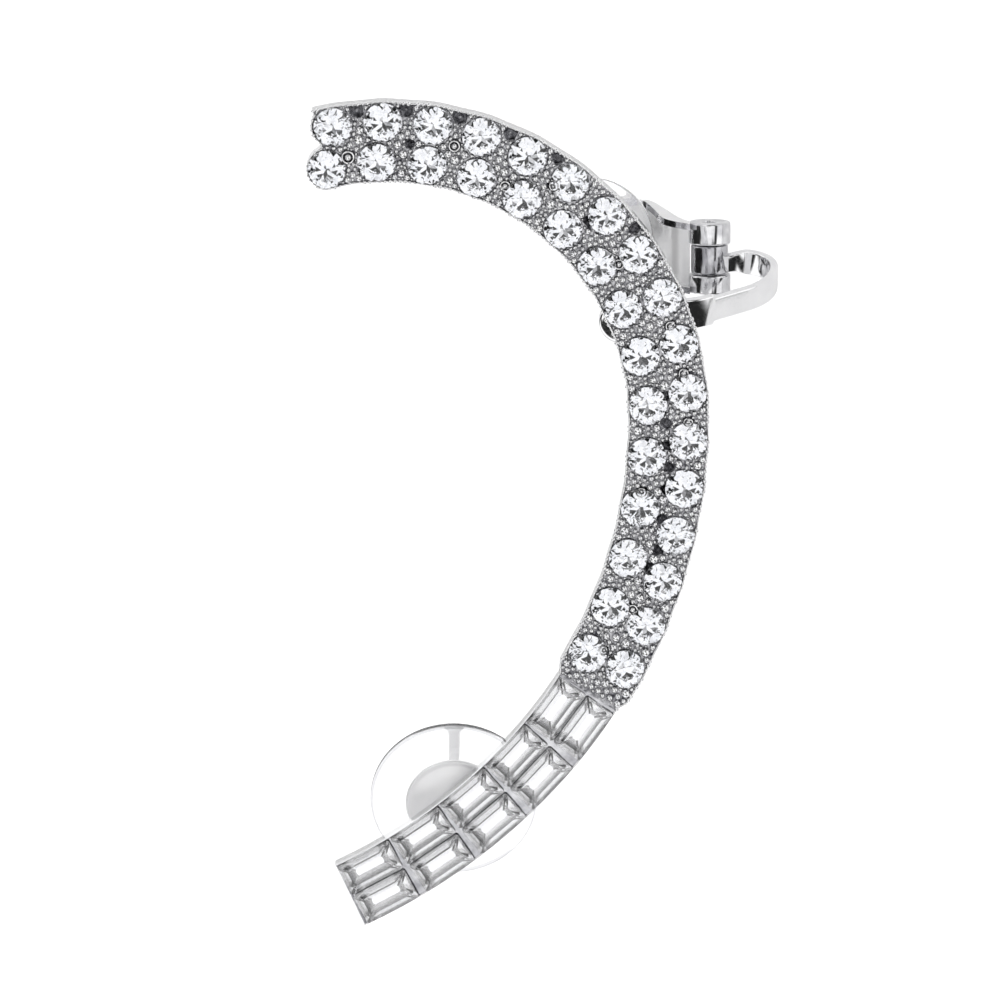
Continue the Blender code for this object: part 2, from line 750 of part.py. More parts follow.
def build_band(rounds, longs, path, parts, guides, frames, metal):
    """The band with all that is soldered to it, as one solid."""
    frame, post_frame, clip_frame, hinge_frame = frames
    band = add_object("band", band_blank_mesh(path), parts, frame, metal)
    lower, knuckle, upper = hinge_levels()
    clip_pad = add_object("clip_pad_guide", clip_pad_mesh(), guides, frame)
    clip_pad.location = clip_frame.location
    knuckle_guide = add_object(
        "knuckle_guide", hinge_cylinder_mesh("knuckle", KNUCKLE_RADIUS, *knuckle), guides, hinge_frame)
    bore = add_object(
        "pin_bore_guide",
        hinge_cylinder_mesh("pin_bore", PIN_RADIUS + PIN_CLEARANCE, lower[0], upper[1]),
        guides, hinge_frame)
    joined = (
        add_object("end_bulge_guide", end_bulge_mesh(rounds), guides, frame),
        add_object("grain_guide", grain_mesh(grain_sites(path, rounds)), guides, frame),
        add_object("post_guide", post_mesh(), guides, post_frame),
        clip_pad,
        add_object("strap_guide", strap_mesh(), guides, clip_frame),
        knuckle_guide,
    )
    for other in joined:
        boolean(band, other, "UNION")
    seats = add_object("seat_guide", seat_cutter_mesh(rounds, longs), guides, frame)
    boolean(band, seats, "DIFFERENCE")
    boolean(band, bore, "DIFFERENCE")
    return band


def build_clip(parts, guides, hinge_frame, metal, steel, clear):
    """The hinge pin, and the paddle with its pad, which turn about the pin."""
    lower, _, upper = hinge_levels()
    add_object(
        "hinge_pin",
        hinge_cylinder_mesh("hinge_pin", PIN_RADIUS, lower[0] - PIN_PROUD, upper[1] + PIN_PROUD),
        parts, hinge_frame, steel)
    paddle = add_object("paddle", paddle_plate_mesh(), parts, hinge_frame, metal)
    for name, level in (("lower_ear_guide", lower), ("upper_ear_guide", upper)):
        ear = add_object(name, hinge_cylinder_mesh(name, EAR_RADIUS, *level), guides, hinge_frame)
        boolean(paddle, ear, "UNION")
    bore = add_object(
        "paddle_bore_guide",
        hinge_cylinder_mesh("paddle_bore", PIN_RADIUS + PIN_CLEARANCE,
                            lower[0] - EAR_RADIUS, upper[1] + EAR_RADIUS),
        guides, hinge_frame)
    boolean(paddle, bore, "DIFFERENCE")
    path = paddle_path()
    half, foot = paddle_half_width()
    x, depth, heading = path.beside(path.length - half, 0.5 * PADDLE_THICKNESS + PAD_GAP)
    pad = add_object("paddle_pad", pad_mesh(), parts, hinge_frame, clear)
    pad.location = (x, foot + PADDLE_RISE, -depth)
    pad.rotation_euler = (0.0, heading - math.pi, 0.0)


def build_clutch(parts, post_frame, metal, clear):
    """The clutch's nut and disc, which slide on the post."""
    add_object("clutch_nut", clutch_nut_mesh(), parts, post_frame, metal)
    add_object("clutch_disc", clutch_disc_mesh(), parts, post_frame, clear)


# Rest

def world_mesh(item, depsgraph):
    """Evaluated points and triangles of an object in world space."""
    view = item.evaluated_get(depsgraph)
    mesh = view.to_mesh()
    mesh.calc_loop_triangles()
    points = np.array([v.co[:] for v in mesh.vertices]).reshape(-1, 3)
    corners = np.array([t.vertices[:] for t in mesh.loop_triangles]).reshape(-1, 3)
    place = np.array(item.matrix_world)
    view.to_mesh_clear()
    return points @ place[:3, :3].T + place[:3, 3], corners


def density_of(item):
    """Density by the piece's name."""
    if "stone" in item.name or "baguette" in item.name:
        return GLASS_DENSITY
    if item.name in ("clutch_disc", "paddle_pad"):
        return PLASTIC_DENSITY
    return METAL_DENSITY


def lay_down(frame, parts):
    """Turn and drop the whole cuff onto the side of its hull that it rests on.

    Of the hull's faces that lie under the centre of mass, the one that faces
    most nearly away from the band's face is the one that goes down.
    """
    bpy.context.view_layer.update()
    depsgraph = bpy.context.evaluated_depsgraph_get()
    clouds = []
    moment = np.zeros(3)
    mass = 0.0
    for item in parts.objects:
        if item.type != "MESH":
            continue
        points, corners = world_mesh(item, depsgraph)
        clouds.append(points)
        a, b, c = (points[corners[:, k]] for k in range(3))
        volumes = np.einsum("ij,ij->i", a, np.cross(b, c)) / 6.0
        weights = volumes * density_of(item)
        moment += (weights[:, None] * (a + b + c) / 4.0).sum(axis=0)
        mass += weights.sum()
    centre = Vector(moment / mass)
    hull = bmesh.new()
    for point in np.vstack(clouds):
        hull.verts.new(point)
    made = bmesh.ops.convex_hull(hull, input=hull.verts)
    best = None
    for face in (g for g in made["geom"] if isinstance(g, bmesh.types.BMFace)):
        outward = face.normal if face.normal.dot(face.verts[0].co - centre) > 0 else -face.normal
        foot = centre + outward * outward.dot(face.verts[0].co - centre)
        corners = [v.co for v in face.verts]
        sides = [(b - a).cross(foot - a).dot(outward) for a, b in zip(corners, corners[1:] + corners[:1])]
        if (min(sides) > 0 or max(sides) < 0) and (best is None or -outward.z > best[0]):
            best = (-outward.z, outward.copy())
    hull.free()
    up = -best[1]
    right = (Vector((1.0, 0.0, 0.0)) - up * up.x).normalized()
    turn = Matrix((right, up.cross(right), up)).to_4x4()
    turned_cloud = np.vstack(clouds) @ np.array(turn.to_3x3()).T
    low, high = turned_cloud.min(axis=0), turned_cloud.max(axis=0)
    drop = Matrix.Translation((-0.5 * (low[0] + high[0]), -0.5 * (low[1] + high[1]), -low[2]))
    frame.matrix_world = drop @ turn


def main():
    """Build the ear cuff."""
    clear_scene()
    parts = new_collection("ear_cuff")
    guides = new_collection("guides")
    silver = material("silver_plate", (0.80, 0.80, 0.81), 0.18, 1.0)
    steel = material("pin_steel", (0.55, 0.55, 0.57), 0.25, 1.0)
    crystal = material("crystal", (0.95, 0.96, 0.97), 0.03, 0.0, 0.7)
    clear = material("clear_plastic", (0.97, 0.97, 0.98), 0.06, 0.0, 0.9)
    frame = add_frame("cuff_frame", guides, None, (0.0, 0.0, 0.0), 0.0)
    path = band_path()
    post_x, post_y, _ = path.beside(POST_ALONG, POST_OFFSET)
    clip_x, clip_y, _ = path.beside(CLIP_ALONG, CLIP_OFFSET)
    post_frame = add_frame("post_frame", guides, frame, (post_x, post_y, 0.0), WEAR_LEAN)
    clip_frame = add_frame("clip_frame", guides, frame, (clip_x, clip_y, 0.0), WEAR_LEAN)
    hinge_frame = add_frame("hinge_frame", guides, clip_frame,
                            (HINGE_REACH, 0.0, -HINGE_SETBACK), -WEAR_LEAN)
    rounds = round_stones(path)
    longs = baguettes(path)
    frames = (frame, post_frame, clip_frame, hinge_frame)
    build_band(rounds, longs, path, parts, guides, frames, silver)
    round_mesh = round_stone_mesh()
    round_mesh.materials.append(crystal)
    long_mesh = baguette_mesh()
    long_mesh.materials.append(crystal)
    add_stones(rounds, round_mesh, parts, frame)
    add_stones(longs, long_mesh, parts, frame)
    build_clip(parts, guides, hinge_frame, silver, steel, clear)
    build_clutch(parts, post_frame, silver, clear)
    lay_down(frame, parts)


main()
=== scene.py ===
"""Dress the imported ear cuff: cut stones in a grained band, an ear clip and a clutch.

Lengths are in metres and angles in radians. Shapes are worked out in the band's
own frame, face up, with Z = 0 on its flat back, and then laid where the packed
stones lie.
"""

import logging
import math
from dataclasses import dataclass
from enum import Enum

import bmesh
import bpy
import numpy as np
from mathutils import Matrix

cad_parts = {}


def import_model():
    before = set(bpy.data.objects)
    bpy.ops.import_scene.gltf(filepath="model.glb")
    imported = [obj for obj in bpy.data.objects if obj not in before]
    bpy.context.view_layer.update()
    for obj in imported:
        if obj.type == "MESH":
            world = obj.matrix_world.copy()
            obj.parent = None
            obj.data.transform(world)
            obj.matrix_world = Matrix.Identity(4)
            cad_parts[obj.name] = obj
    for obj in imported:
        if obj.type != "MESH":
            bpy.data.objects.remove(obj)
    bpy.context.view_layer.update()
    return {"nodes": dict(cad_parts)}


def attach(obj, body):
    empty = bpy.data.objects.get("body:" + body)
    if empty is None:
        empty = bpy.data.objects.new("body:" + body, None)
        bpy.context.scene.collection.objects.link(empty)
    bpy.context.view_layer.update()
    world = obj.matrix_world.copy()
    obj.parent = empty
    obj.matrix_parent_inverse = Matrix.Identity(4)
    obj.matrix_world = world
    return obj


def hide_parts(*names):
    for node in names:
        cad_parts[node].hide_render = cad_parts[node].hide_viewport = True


logging.basicConfig(level=logging.INFO, format="%(message)s")
LOG = logging.getLogger("ear_cuff")

Array = np.ndarray
Object = bpy.types.Object
Material = bpy.types.Material
MERGE_DISTANCE = 1e-7
CORNER_STEPS = 4
BEAD_SIDES, BEAD_RINGS = 8, 5
BEVEL_SEGMENTS = 2
BEVEL_ANGLE = math.radians(40)
NOISE_DETAIL = 4.0
GREY_START, GREY_STOP = 0.3, 0.7

# Where the post and the clip stand on the band, and how far they lean up it
POST_ALONG, POST_OFFSET = 0.0671, -0.0008
CLIP_ALONG, CLIP_OFFSET = 0.0274, -0.0019
WEAR_LEAN = math.radians(17)


class Body(Enum):
    """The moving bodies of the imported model."""

    CUFF = "cuff"
    PADDLE = "paddle"
    CLUTCH = "clutch"


class Slot(Enum):
    """Names of finishes."""

    SILVER = "silver"
    PIN = "pin"
    CRYSTAL = "crystal"
    CLEAR = "clear"


class Row(Enum):
    """The two rows of stones, by the side of the midline that they lie on."""

    OUTER = 1
    INNER = -1

    @property
    def label(self) -> str:
        """The row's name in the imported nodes."""
        return self.name.lower()


# Shapes


def grid_quads(rows: int, columns: int, close_rows: bool = False) -> Array:
    """Join neighbouring points of a grid that is stored row by row, each row a loop.

    Args:
        rows: number of rows.
        columns: number of points in a row.
        close_rows: whether the last row joins the first.

    Returns:
        Point numbers of each quad, four to a line.
    """
    row = np.arange(rows if close_rows else rows - 1)[:, None]
    column = np.arange(columns)[None, :]
    next_row, next_column = (row + 1) % rows, (column + 1) % columns
    corners = (row * columns + column, row * columns + next_column,
               next_row * columns + next_column, next_row * columns + column)
    return np.stack(np.broadcast_arrays(*corners), axis=-1).reshape(-1, 4)


@dataclass(frozen=True)
class Placement:
    """A turn and a shift from one frame into another."""

    turn: Array
    shift: Array

    def points(self, local: Array) -> Array:
        """Carry points, one to a line, into the outer frame."""
        return local @ self.turn.T + self.shift

    def inside(self, turn: Array, shift: Array) -> "Placement":
        """The placement of a frame that is given in this one."""
        return Placement(self.turn @ turn, self.turn @ shift + self.shift)

    @staticmethod
    def seated(planned: Array, found: Array) -> "Placement":
        """The turn and shift that lay planned points on found ones, by least squares.

        Args:
            planned: points in the inner frame.
            found: the same points in the outer frame.

        Returns:
            The best rigid placement, from the singular vectors of the covariance.
        """
        a, b = planned.mean(axis=0), found.mean(axis=0)
        left, _, right = np.linalg.svd((planned - a).T @ (found - b))
        flip = np.diag((1.0, 1.0, np.sign(np.linalg.det(right.T @ left.T))))
        turn = right.T @ flip @ left.T
        return Placement(turn, b - turn @ a)


def turn_about(axis: int, angle: float) -> Array:
    """The matrix of a turn.

    Args:
        axis: the axis, 0 for X, 1 for Y or 2 for Z.
        angle: the turn's angle.

    Returns:
        The matrix, which turns columns.
    """
    c, s = math.cos(angle), math.sin(angle)
    i, j = (axis + 1) % 3, (axis + 2) % 3
    made = np.eye(3)
    made[i, i], made[i, j], made[j, i], made[j, j] = c, -s, s, c
    return made


@dataclass
class Shell:
    """Points and blocks of faces, each block with the number of its finish."""

    points: Array
    blocks: list[tuple[Array, int]]

    @staticmethod
    def joined(shells: list["Shell"]) -> "Shell":
        """Several shells as one, with their points numbered on.

        Args:
            shells: the shells.

        Returns:
            The joined shell.
        """
        starts = np.cumsum([0] + [len(shell.points) for shell in shells])
        blocks = [(faces + start, look) for shell, start in zip(shells, starts)
                  for faces, look in shell.blocks]
        return Shell(np.vstack([shell.points for shell in shells]), blocks)

    def placed(self, placement: Placement) -> "Shell":
        """The same shell in the placement's outer frame."""
        return Shell(placement.points(self.points), self.blocks)

    def relooked(self, chosen: Array, look: int) -> "Shell":
        """The same shell with another finish on the faces whose corners are all chosen.

        Args:
            chosen: for each point, whether it is chosen.
            look: the finish's number.

        Returns:
            The shell with each block split in two.
        """
        blocks = []
        for faces, old in self.blocks:
            inside = chosen[faces].all(axis=1)
            blocks += [(faces[~inside], old), (faces[inside], look)]
        return Shell(self.points, [block for block in blocks if len(block[0])])

    def repeated(self, centres: Array, sizes: Array) -> "Shell":
        """A copy at each centre, scaled by each size.

        Args:
            centres: one centre to a line.
            sizes: one scale, or one for each axis, to a line.

        Returns:
            All copies as one shell.
        """
        scale = sizes.reshape(len(centres), 1, -1)
        points = (self.points[None] * scale + centres[:, None]).reshape(-1, 3)
        steps = (np.arange(len(centres)) * len(self.points))[:, None, None]
        blocks = [((faces[None] + steps).reshape(-1, faces.shape[1]), look)
                  for faces, look in self.blocks]
        return Shell(points, blocks)


def swept(middles: Array, across: Array, above: Array, sections: Array) -> Shell:
    """Carry a closed section along a path and close both ends with a fan.

    A point is the path's middle plus the section's two numbers times the
    directions across and above the path.

    Args:
        middles: the path, one point to a line.
        across: the direction across at each point.
        above: the direction above at each point.
        sections: (points of the path, points of the section, 2).

    Returns:
        A closed shell.
    """
    rings = (middles[:, None] + sections[..., :1] * across[:, None]
             + sections[..., 1:] * above[:, None])
    ends = rings.mean(axis=1, keepdims=True)
    count = rings.shape[1]
    rings = np.concatenate((np.repeat(ends[:1], count, axis=1), rings,
                            np.repeat(ends[-1:], count, axis=1)))
    return Shell(rings.reshape(-1, 3), [(grid_quads(len(rings), count), 0)])


def revolved(profile: Array, sides: int, closed: bool = False) -> Shell:
    """Turn an outline of (radius, height) about Z.

    A point is (radius cos a, radius sin a, height). A radius of 0 is a pole.

    Args:
        profile: one (radius, height) to a line.
        sides: steps round the axis.
        closed: whether the outline's end joins its start, as in a bored piece.

    Returns:
        A closed shell.
    """
    angle = np.arange(sides) * math.tau / sides
    radius, height = profile[:, :1], profile[:, 1:]
    points = np.stack((radius * np.cos(angle), radius * np.sin(angle),
                       height + 0.0 * angle), axis=-1)
    return Shell(points.reshape(-1, 3), [(grid_quads(len(profile), sides, close_rows=closed), 0)])


def rounded_corners(outline: Array, radius: float, closed: bool = False) -> Array:
    """Round the corners of an outline with quadratic arcs.

    At each corner the arc runs from a point one radius before it to a point one
    radius after it, (1-t)^2 a + 2t(1-t) corner + t^2 b.

    Args:
        outline: one (x, y) to a line.
        radius: distance from the corner where the arc starts, at most half a side.
        closed: whether the outline is a loop.

    Returns:
        The rounded outline.
    """
    before, after = np.roll(outline, 1, axis=0), np.roll(outline, -1, axis=0)
    back, ahead = before - outline, after - outline
    back_length = np.linalg.norm(back, axis=1, keepdims=True)
    ahead_length = np.linalg.norm(ahead, axis=1, keepdims=True)
    reach = np.minimum(radius, 0.5 * np.minimum(back_length, ahead_length))
    start = outline + back / back_length * reach
    end = outline + ahead / ahead_length * reach
    t = np.linspace(0.0, 1.0, CORNER_STEPS + 1)[None, :, None]
    arcs = ((1 - t) ** 2 * start[:, None] + 2 * t * (1 - t) * outline[:, None]
            + t ** 2 * end[:, None])
    if closed:
        return arcs.reshape(-1, 2)
    return np.vstack((outline[:1], arcs[1:-1].reshape(-1, 2), outline[-1:]))


def linked(name: str, data: bpy.types.ID) -> Object:
    """Make an object of some data and link it to the scene.

    Args:
        name: the object's name.
        data: its mesh or camera.

    Returns:
        The object.
    """
    made = bpy.data.objects.new(name, data)
    bpy.context.scene.collection.objects.link(made)
    return made


def make_piece(name: str, shell: Shell, looks: list[Material], body: Body, slot: Slot,
               stands_for: tuple[str, ...] = (), sharp: float | None = 35.0) -> Object:
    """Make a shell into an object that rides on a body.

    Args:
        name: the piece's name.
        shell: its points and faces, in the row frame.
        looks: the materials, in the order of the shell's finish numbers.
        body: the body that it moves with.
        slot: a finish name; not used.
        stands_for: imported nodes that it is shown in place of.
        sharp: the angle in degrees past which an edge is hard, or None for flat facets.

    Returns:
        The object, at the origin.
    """
    mesh = bpy.data.meshes.new(name)
    faces = [face for block, _ in shell.blocks for face in block.tolist()]
    mesh.from_pydata(shell.points.tolist(), [], faces)
    numbers = np.concatenate([np.full(len(block), look) for block, look in shell.blocks])
    mesh.polygons.foreach_set("material_index", numbers.astype(np.int32))
    work = bmesh.new()
    work.from_mesh(mesh)
    bmesh.ops.remove_doubles(work, verts=work.verts, dist=MERGE_DISTANCE)
    bmesh.ops.recalc_face_normals(work, faces=work.faces)
    work.to_mesh(mesh)
    work.free()
    if sharp is None:
        mesh.shade_flat()
    else:
        mesh.shade_smooth()
        mesh.set_sharp_from_angle(angle=math.radians(sharp))
    for look in looks:
        mesh.materials.append(look)
    piece = linked(name, mesh)
    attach(piece, body.value)
    if stands_for:
        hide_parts(*stands_for)
    LOG.info("%s: %d points, %d faces", name, len(mesh.vertices), len(mesh.polygons))
    return piece


def bevelled(piece: Object, width: float) -> Object:
    """Round a piece's hard edges with a Bevel modifier.

    Args:
        piece: the piece.
        width: the bevel's width.

    Returns:
        The piece.
    """
    step = piece.modifiers.new("soft_edges", "BEVEL")
    step.width = width
    step.segments = BEVEL_SEGMENTS
    step.limit_method = "ANGLE"
    step.angle_limit = BEVEL_ANGLE
    step.harden_normals = True
    return piece


# Finishes


class Nodes:
    """A material's nodes, made and linked by short calls."""

    def __init__(self, name: str) -> None:
        """Start a material with a Principled shader.

        Args:
            name: the material's name.
        """
        self.material = bpy.data.materials.new(name)
        self.material.use_nodes = True
        self.tree = self.material.node_tree
        self.shader = self.tree.nodes["Principled BSDF"]

    def add(self, kind: str, **settings: object) -> bpy.types.Node:
        """Add a node and set its properties.

        Args:
            kind: the node's type.
            settings: its properties by name.

        Returns:
            The node.
        """
        node = self.tree.nodes.new(kind)
        for name, value in settings.items():
            setattr(node, name, value)
        return node

    def link(self, source: bpy.types.NodeSocket, target: bpy.types.NodeSocket) -> None:
        """Link two sockets."""
        self.tree.links.new(source, target)

    def put(self, values: dict[str, object]) -> None:
        """Set the shader's inputs by name."""
        for name, value in values.items():
            self.shader.inputs[name].default_value = value

    def clear(self, tint: tuple[float, float, float], index: float) -> None:
        """Let light through the shader, tinted, and bent by an index of refraction."""
        self.put({"Base Color": (*tint, 1.0), "Transmission Weight": 1.0, "IOR": index})

    def gloss(self, source: bpy.types.NodeSocket, ends: tuple[float, float]) -> None:
        """Vary the shader's roughness from one end to the other by a grey value."""
        self.link(self.spread(source, *ends), self.shader.inputs["Roughness"])

    def noise(self, scale: float, stretch: tuple[float, float, float] = (1, 1, 1)
              ) -> bpy.types.NodeSocket:
        """Noise on Object coordinates.

        Args:
            scale: cells per metre.
            stretch: a scale for each axis.

        Returns:
            The noise's grey value.
        """
        place = self.add("ShaderNodeTexCoord")
        turn = self.add("ShaderNodeMapping")
        turn.inputs["Scale"].default_value = stretch
        noise = self.add("ShaderNodeTexNoise")
        noise.inputs["Scale"].default_value = scale
        noise.inputs["Detail"].default_value = NOISE_DETAIL
        self.link(place.outputs["Object"], turn.inputs["Vector"])
        self.link(turn.outputs["Vector"], noise.inputs["Vector"])
        return noise.outputs["Fac"]

    def spread(self, source: bpy.types.NodeSocket, low: float, high: float,
               start: float = GREY_START, stop: float = GREY_STOP) -> bpy.types.NodeSocket:
        """Map a grey value from start..stop to low..high.

        Args:
            source: the grey value.
            low: the result at start.
            high: the result at stop.
            start: the grey value where the change starts.
            stop: the grey value where it stops.

        Returns:
            The result.
        """
        node = self.add("ShaderNodeMapRange")
        node.inputs["From Min"].default_value = start
        node.inputs["From Max"].default_value = stop
        node.inputs["To Min"].default_value = low
        node.inputs["To Max"].default_value = high
        self.link(source, node.inputs["Value"])
        return node.outputs["Result"]

    def colour(self, source: bpy.types.NodeSocket, first: tuple[float, float, float],
               last: tuple[float, float, float]) -> None:
        """Colour the shader by a grey value.

        Args:
            source: the grey value.
            first: the colour of low values.
            last: the colour of high values.
        """
        ramp = self.add("ShaderNodeValToRGB")
        stops = zip(ramp.color_ramp.elements, (GREY_START, GREY_STOP), (first, last))
        for element, position, colour in stops:
            element.position = position
            element.color = (*colour, 1.0)
        self.link(source, ramp.inputs["Fac"])
        self.link(ramp.outputs["Color"], self.shader.inputs["Base Color"])

    def bump(self, source: bpy.types.NodeSocket, distance: float) -> None:
        """Raise the surface by a grey value times a distance.

        Args:
            source: the grey value.
            distance: the height of the highest value.
        """
        node = self.add("ShaderNodeBump")
        node.inputs["Distance"].default_value = distance
        node.inputs["Strength"].default_value = 1.0
        self.link(source, node.inputs["Height"])
        self.link(node.outputs["Normal"], self.shader.inputs["Normal"])


@dataclass(frozen=True)
class PlatedMetal:
    """Plating: faint tarnish, fine wear in its gloss and a rolled surface.

    Mirror is 1 for bright plating and less for milky plating.
    """

    name: str
    bright: tuple[float, float, float] = (0.90, 0.90, 0.91)
    dull: tuple[float, float, float] = (0.74, 0.74, 0.76)
    gloss: tuple[float, float] = (0.05, 0.14)
    tarnish_scale: float = 900.0
    wear_scale: float = 5200.0
    relief_share: float = 0.35
    relief: float = 2.0e-6
    mirror: float = 1.0
    stretch: tuple[float, float, float] = (1.0, 1.0, 1.0)

    def material(self) -> Material:
        """Make the material.

        Returns:
            The material.
        """
        nodes = Nodes(self.name)
        nodes.put({"Metallic": self.mirror})
        nodes.colour(nodes.noise(self.tarnish_scale), self.dull, self.bright)
        nodes.gloss(nodes.noise(self.wear_scale, self.stretch), self.gloss)
        nodes.bump(nodes.noise(self.relief_share * self.wear_scale, self.stretch), self.relief)
        return nodes.material


@dataclass(frozen=True)
class CutGlass:
    """Clear glass above the girdle, seen down to the foil behind it."""

    name: str
    index: float = 1.58
    tint: tuple[float, float, float] = (0.99, 0.99, 1.0)
    haze: tuple[float, float] = (0.0, 0.02)
    scale: float = 2500.0

    def material(self) -> Material:
        """Make the material.

        Returns:
            The material.
        """
        nodes = Nodes(self.name)
        nodes.clear(self.tint, self.index)
        nodes.gloss(nodes.noise(self.scale), self.haze)
        return nodes.material


@dataclass(frozen=True)
class Foil:
    """Silvered back of a stone, bright or soft, with the foil's faint crinkle."""

    name: str
    bright: tuple[float, float, float] = (0.96, 0.96, 0.97)
    dull: tuple[float, float, float] = (0.84, 0.85, 0.87)
    gloss: float = 0.01
    scale: float = 3000.0
    crinkle_scale: float = 1500.0
    crinkle: float = 6.0e-7

    def material(self) -> Material:
        """Make the material.

        Returns:
            The material.
        """
        nodes = Nodes(self.name)
        nodes.put({"Metallic": 1.0, "Roughness": self.gloss})
        nodes.colour(nodes.noise(self.scale), self.dull, self.bright)
        nodes.bump(nodes.noise(self.crinkle_scale), self.crinkle)
        return nodes.material


@dataclass(frozen=True)
class MouldedPlastic:
    """Clear moulded plastic with the mould's faint waves."""

    name: str
    index: float = 1.42
    tint: tuple[float, float, float] = (0.985, 0.985, 0.99)
    gloss: tuple[float, float] = (0.03, 0.10)
    gloss_scale: float = 2200.0
    wave_scale: float = 420.0
    wave: float = 6.0e-6

    def material(self) -> Material:
        """Make the material.

        Returns:
            The material.
        """
        nodes = Nodes(self.name)
        nodes.clear(self.tint, self.index)
        nodes.gloss(nodes.noise(self.gloss_scale), self.gloss)
        nodes.bump(nodes.noise(self.wave_scale), self.wave)
        return nodes.material


@dataclass(frozen=True)
class Finishes:
    """Every material of the cuff."""

    polished: Material
    satin: Material
    # painted shade: dark grey plating for shaded and darkly mirroring parts
    painted_shade: Material
    # cast: near-black floor plating, painted shade between the grains and stones
    cast: Material
    grain: Material
    hinge: Material
    pin: Material
    glass: Material
    foil: Material
    soft_foil: Material
    plastic: Material
    plastic_painted_edge_shade: Material

    @staticmethod
    def made() -> "Finishes":
        """Make them all.

        Returns:
            The finishes.
        """
        return Finishes(
            polished=PlatedMetal("polished_plating", dull=(0.84, 0.84, 0.85),
                                 relief=8.0e-7).material(),
            satin=PlatedMetal("satin_plating", bright=(0.99, 0.99, 0.99), dull=(0.95, 0.95, 0.96),
                              gloss=(0.34, 0.40), relief=4.0e-7, mirror=0.45).material(),
            # Painted shade: dark grey plating standing in for the shade and dark reflections on the
            # knuckle, the paddle's turned edges and the channel under the baguettes.
            painted_shade=PlatedMetal("painted_shade_plating", bright=(0.66, 0.66, 0.68), dull=(0.32, 0.32, 0.34),
                             gloss=(0.06, 0.20), relief=4.0e-6).material(),
            # Painted shade: the floor between the grains is near black, standing in for the shade
            # deep between grains and stones.
            cast=PlatedMetal("painted_shade_floor", bright=(0.58, 0.58, 0.60), dull=(0.03, 0.03, 0.04),
                             gloss=(0.14, 0.34), tarnish_scale=3200.0, wear_scale=9000.0,
                             relief=1.7e-5).material(),
            grain=PlatedMetal("grain_plating", bright=(0.98, 0.98, 0.98), dull=(0.80, 0.80, 0.82),
                              gloss=(0.03, 0.09), tarnish_scale=1800.0).material(),
            hinge=PlatedMetal("rolled_plating", dull=(0.52, 0.52, 0.54), gloss=(0.06, 0.20),
                              relief=6.0e-6, stretch=(1.0, 0.12, 0.4)).material(),
            pin=PlatedMetal("pin_steel", bright=(0.62, 0.62, 0.64), dull=(0.40, 0.40, 0.42),
                            gloss=(0.15, 0.32)).material(),
            glass=CutGlass("cut_glass").material(),
            foil=Foil("silvered_back").material(),
            soft_foil=Foil("soft_silvered_back", bright=(0.99, 0.99, 0.99),
                           dull=(0.95, 0.95, 0.96), gloss=0.19).material(),
            plastic=MouldedPlastic("clear_plastic").material(),
            # Painted shade: grey-tinted clear plastic for the dark outline that refraction gives
            # the disc's edge.
            plastic_painted_edge_shade=MouldedPlastic("clear_plastic_rim", tint=(0.55, 0.55, 0.57)).material(),
        )


# The band's plan


@dataclass(frozen=True)
class ArcPath:
    """A smooth plane path made of arcs, each (length, radius), where radius 0 is straight."""

    start: tuple[float, float]
    heading: float
    arcs: tuple[tuple[float, float], ...]

    @property
    def length(self) -> float:
        """The whole length of the arcs."""
        return sum(length for length, _ in self.arcs)

    def at(self, distance: Array, offset: Array | float = 0.0) -> tuple[Array, Array, Array]:
        """Places at distances along the path and offsets to its left.

        Each arc adds the chord of the part of it that has been run:
        length times sinc(half its turn), at its mean heading.

        Args:
            distance: distances along the path.
            offset: offsets to the left.

        Returns:
            x, y and heading.
        """
        distance = np.asarray(distance, float)
        x, y = self.start[0] + 0.0 * distance, self.start[1] + 0.0 * distance
        heading = self.heading + 0.0 * distance
        before = 0.0
        for index, (length, radius) in enumerate(self.arcs):
            low = 0.0 if index else -math.inf
            high = math.inf if index == len(self.arcs) - 1 else length
            run = np.clip(distance - before, low, high)
            half = -0.5 * run / radius if radius else 0.0 * run
            chord = run * np.sinc(half / math.pi)
            x = x + chord * np.cos(heading + half)
            y = y + chord * np.sin(heading + half)
            heading = heading + 2.0 * half
            before += length
        return x - offset * np.sin(heading), y + offset * np.cos(heading), heading


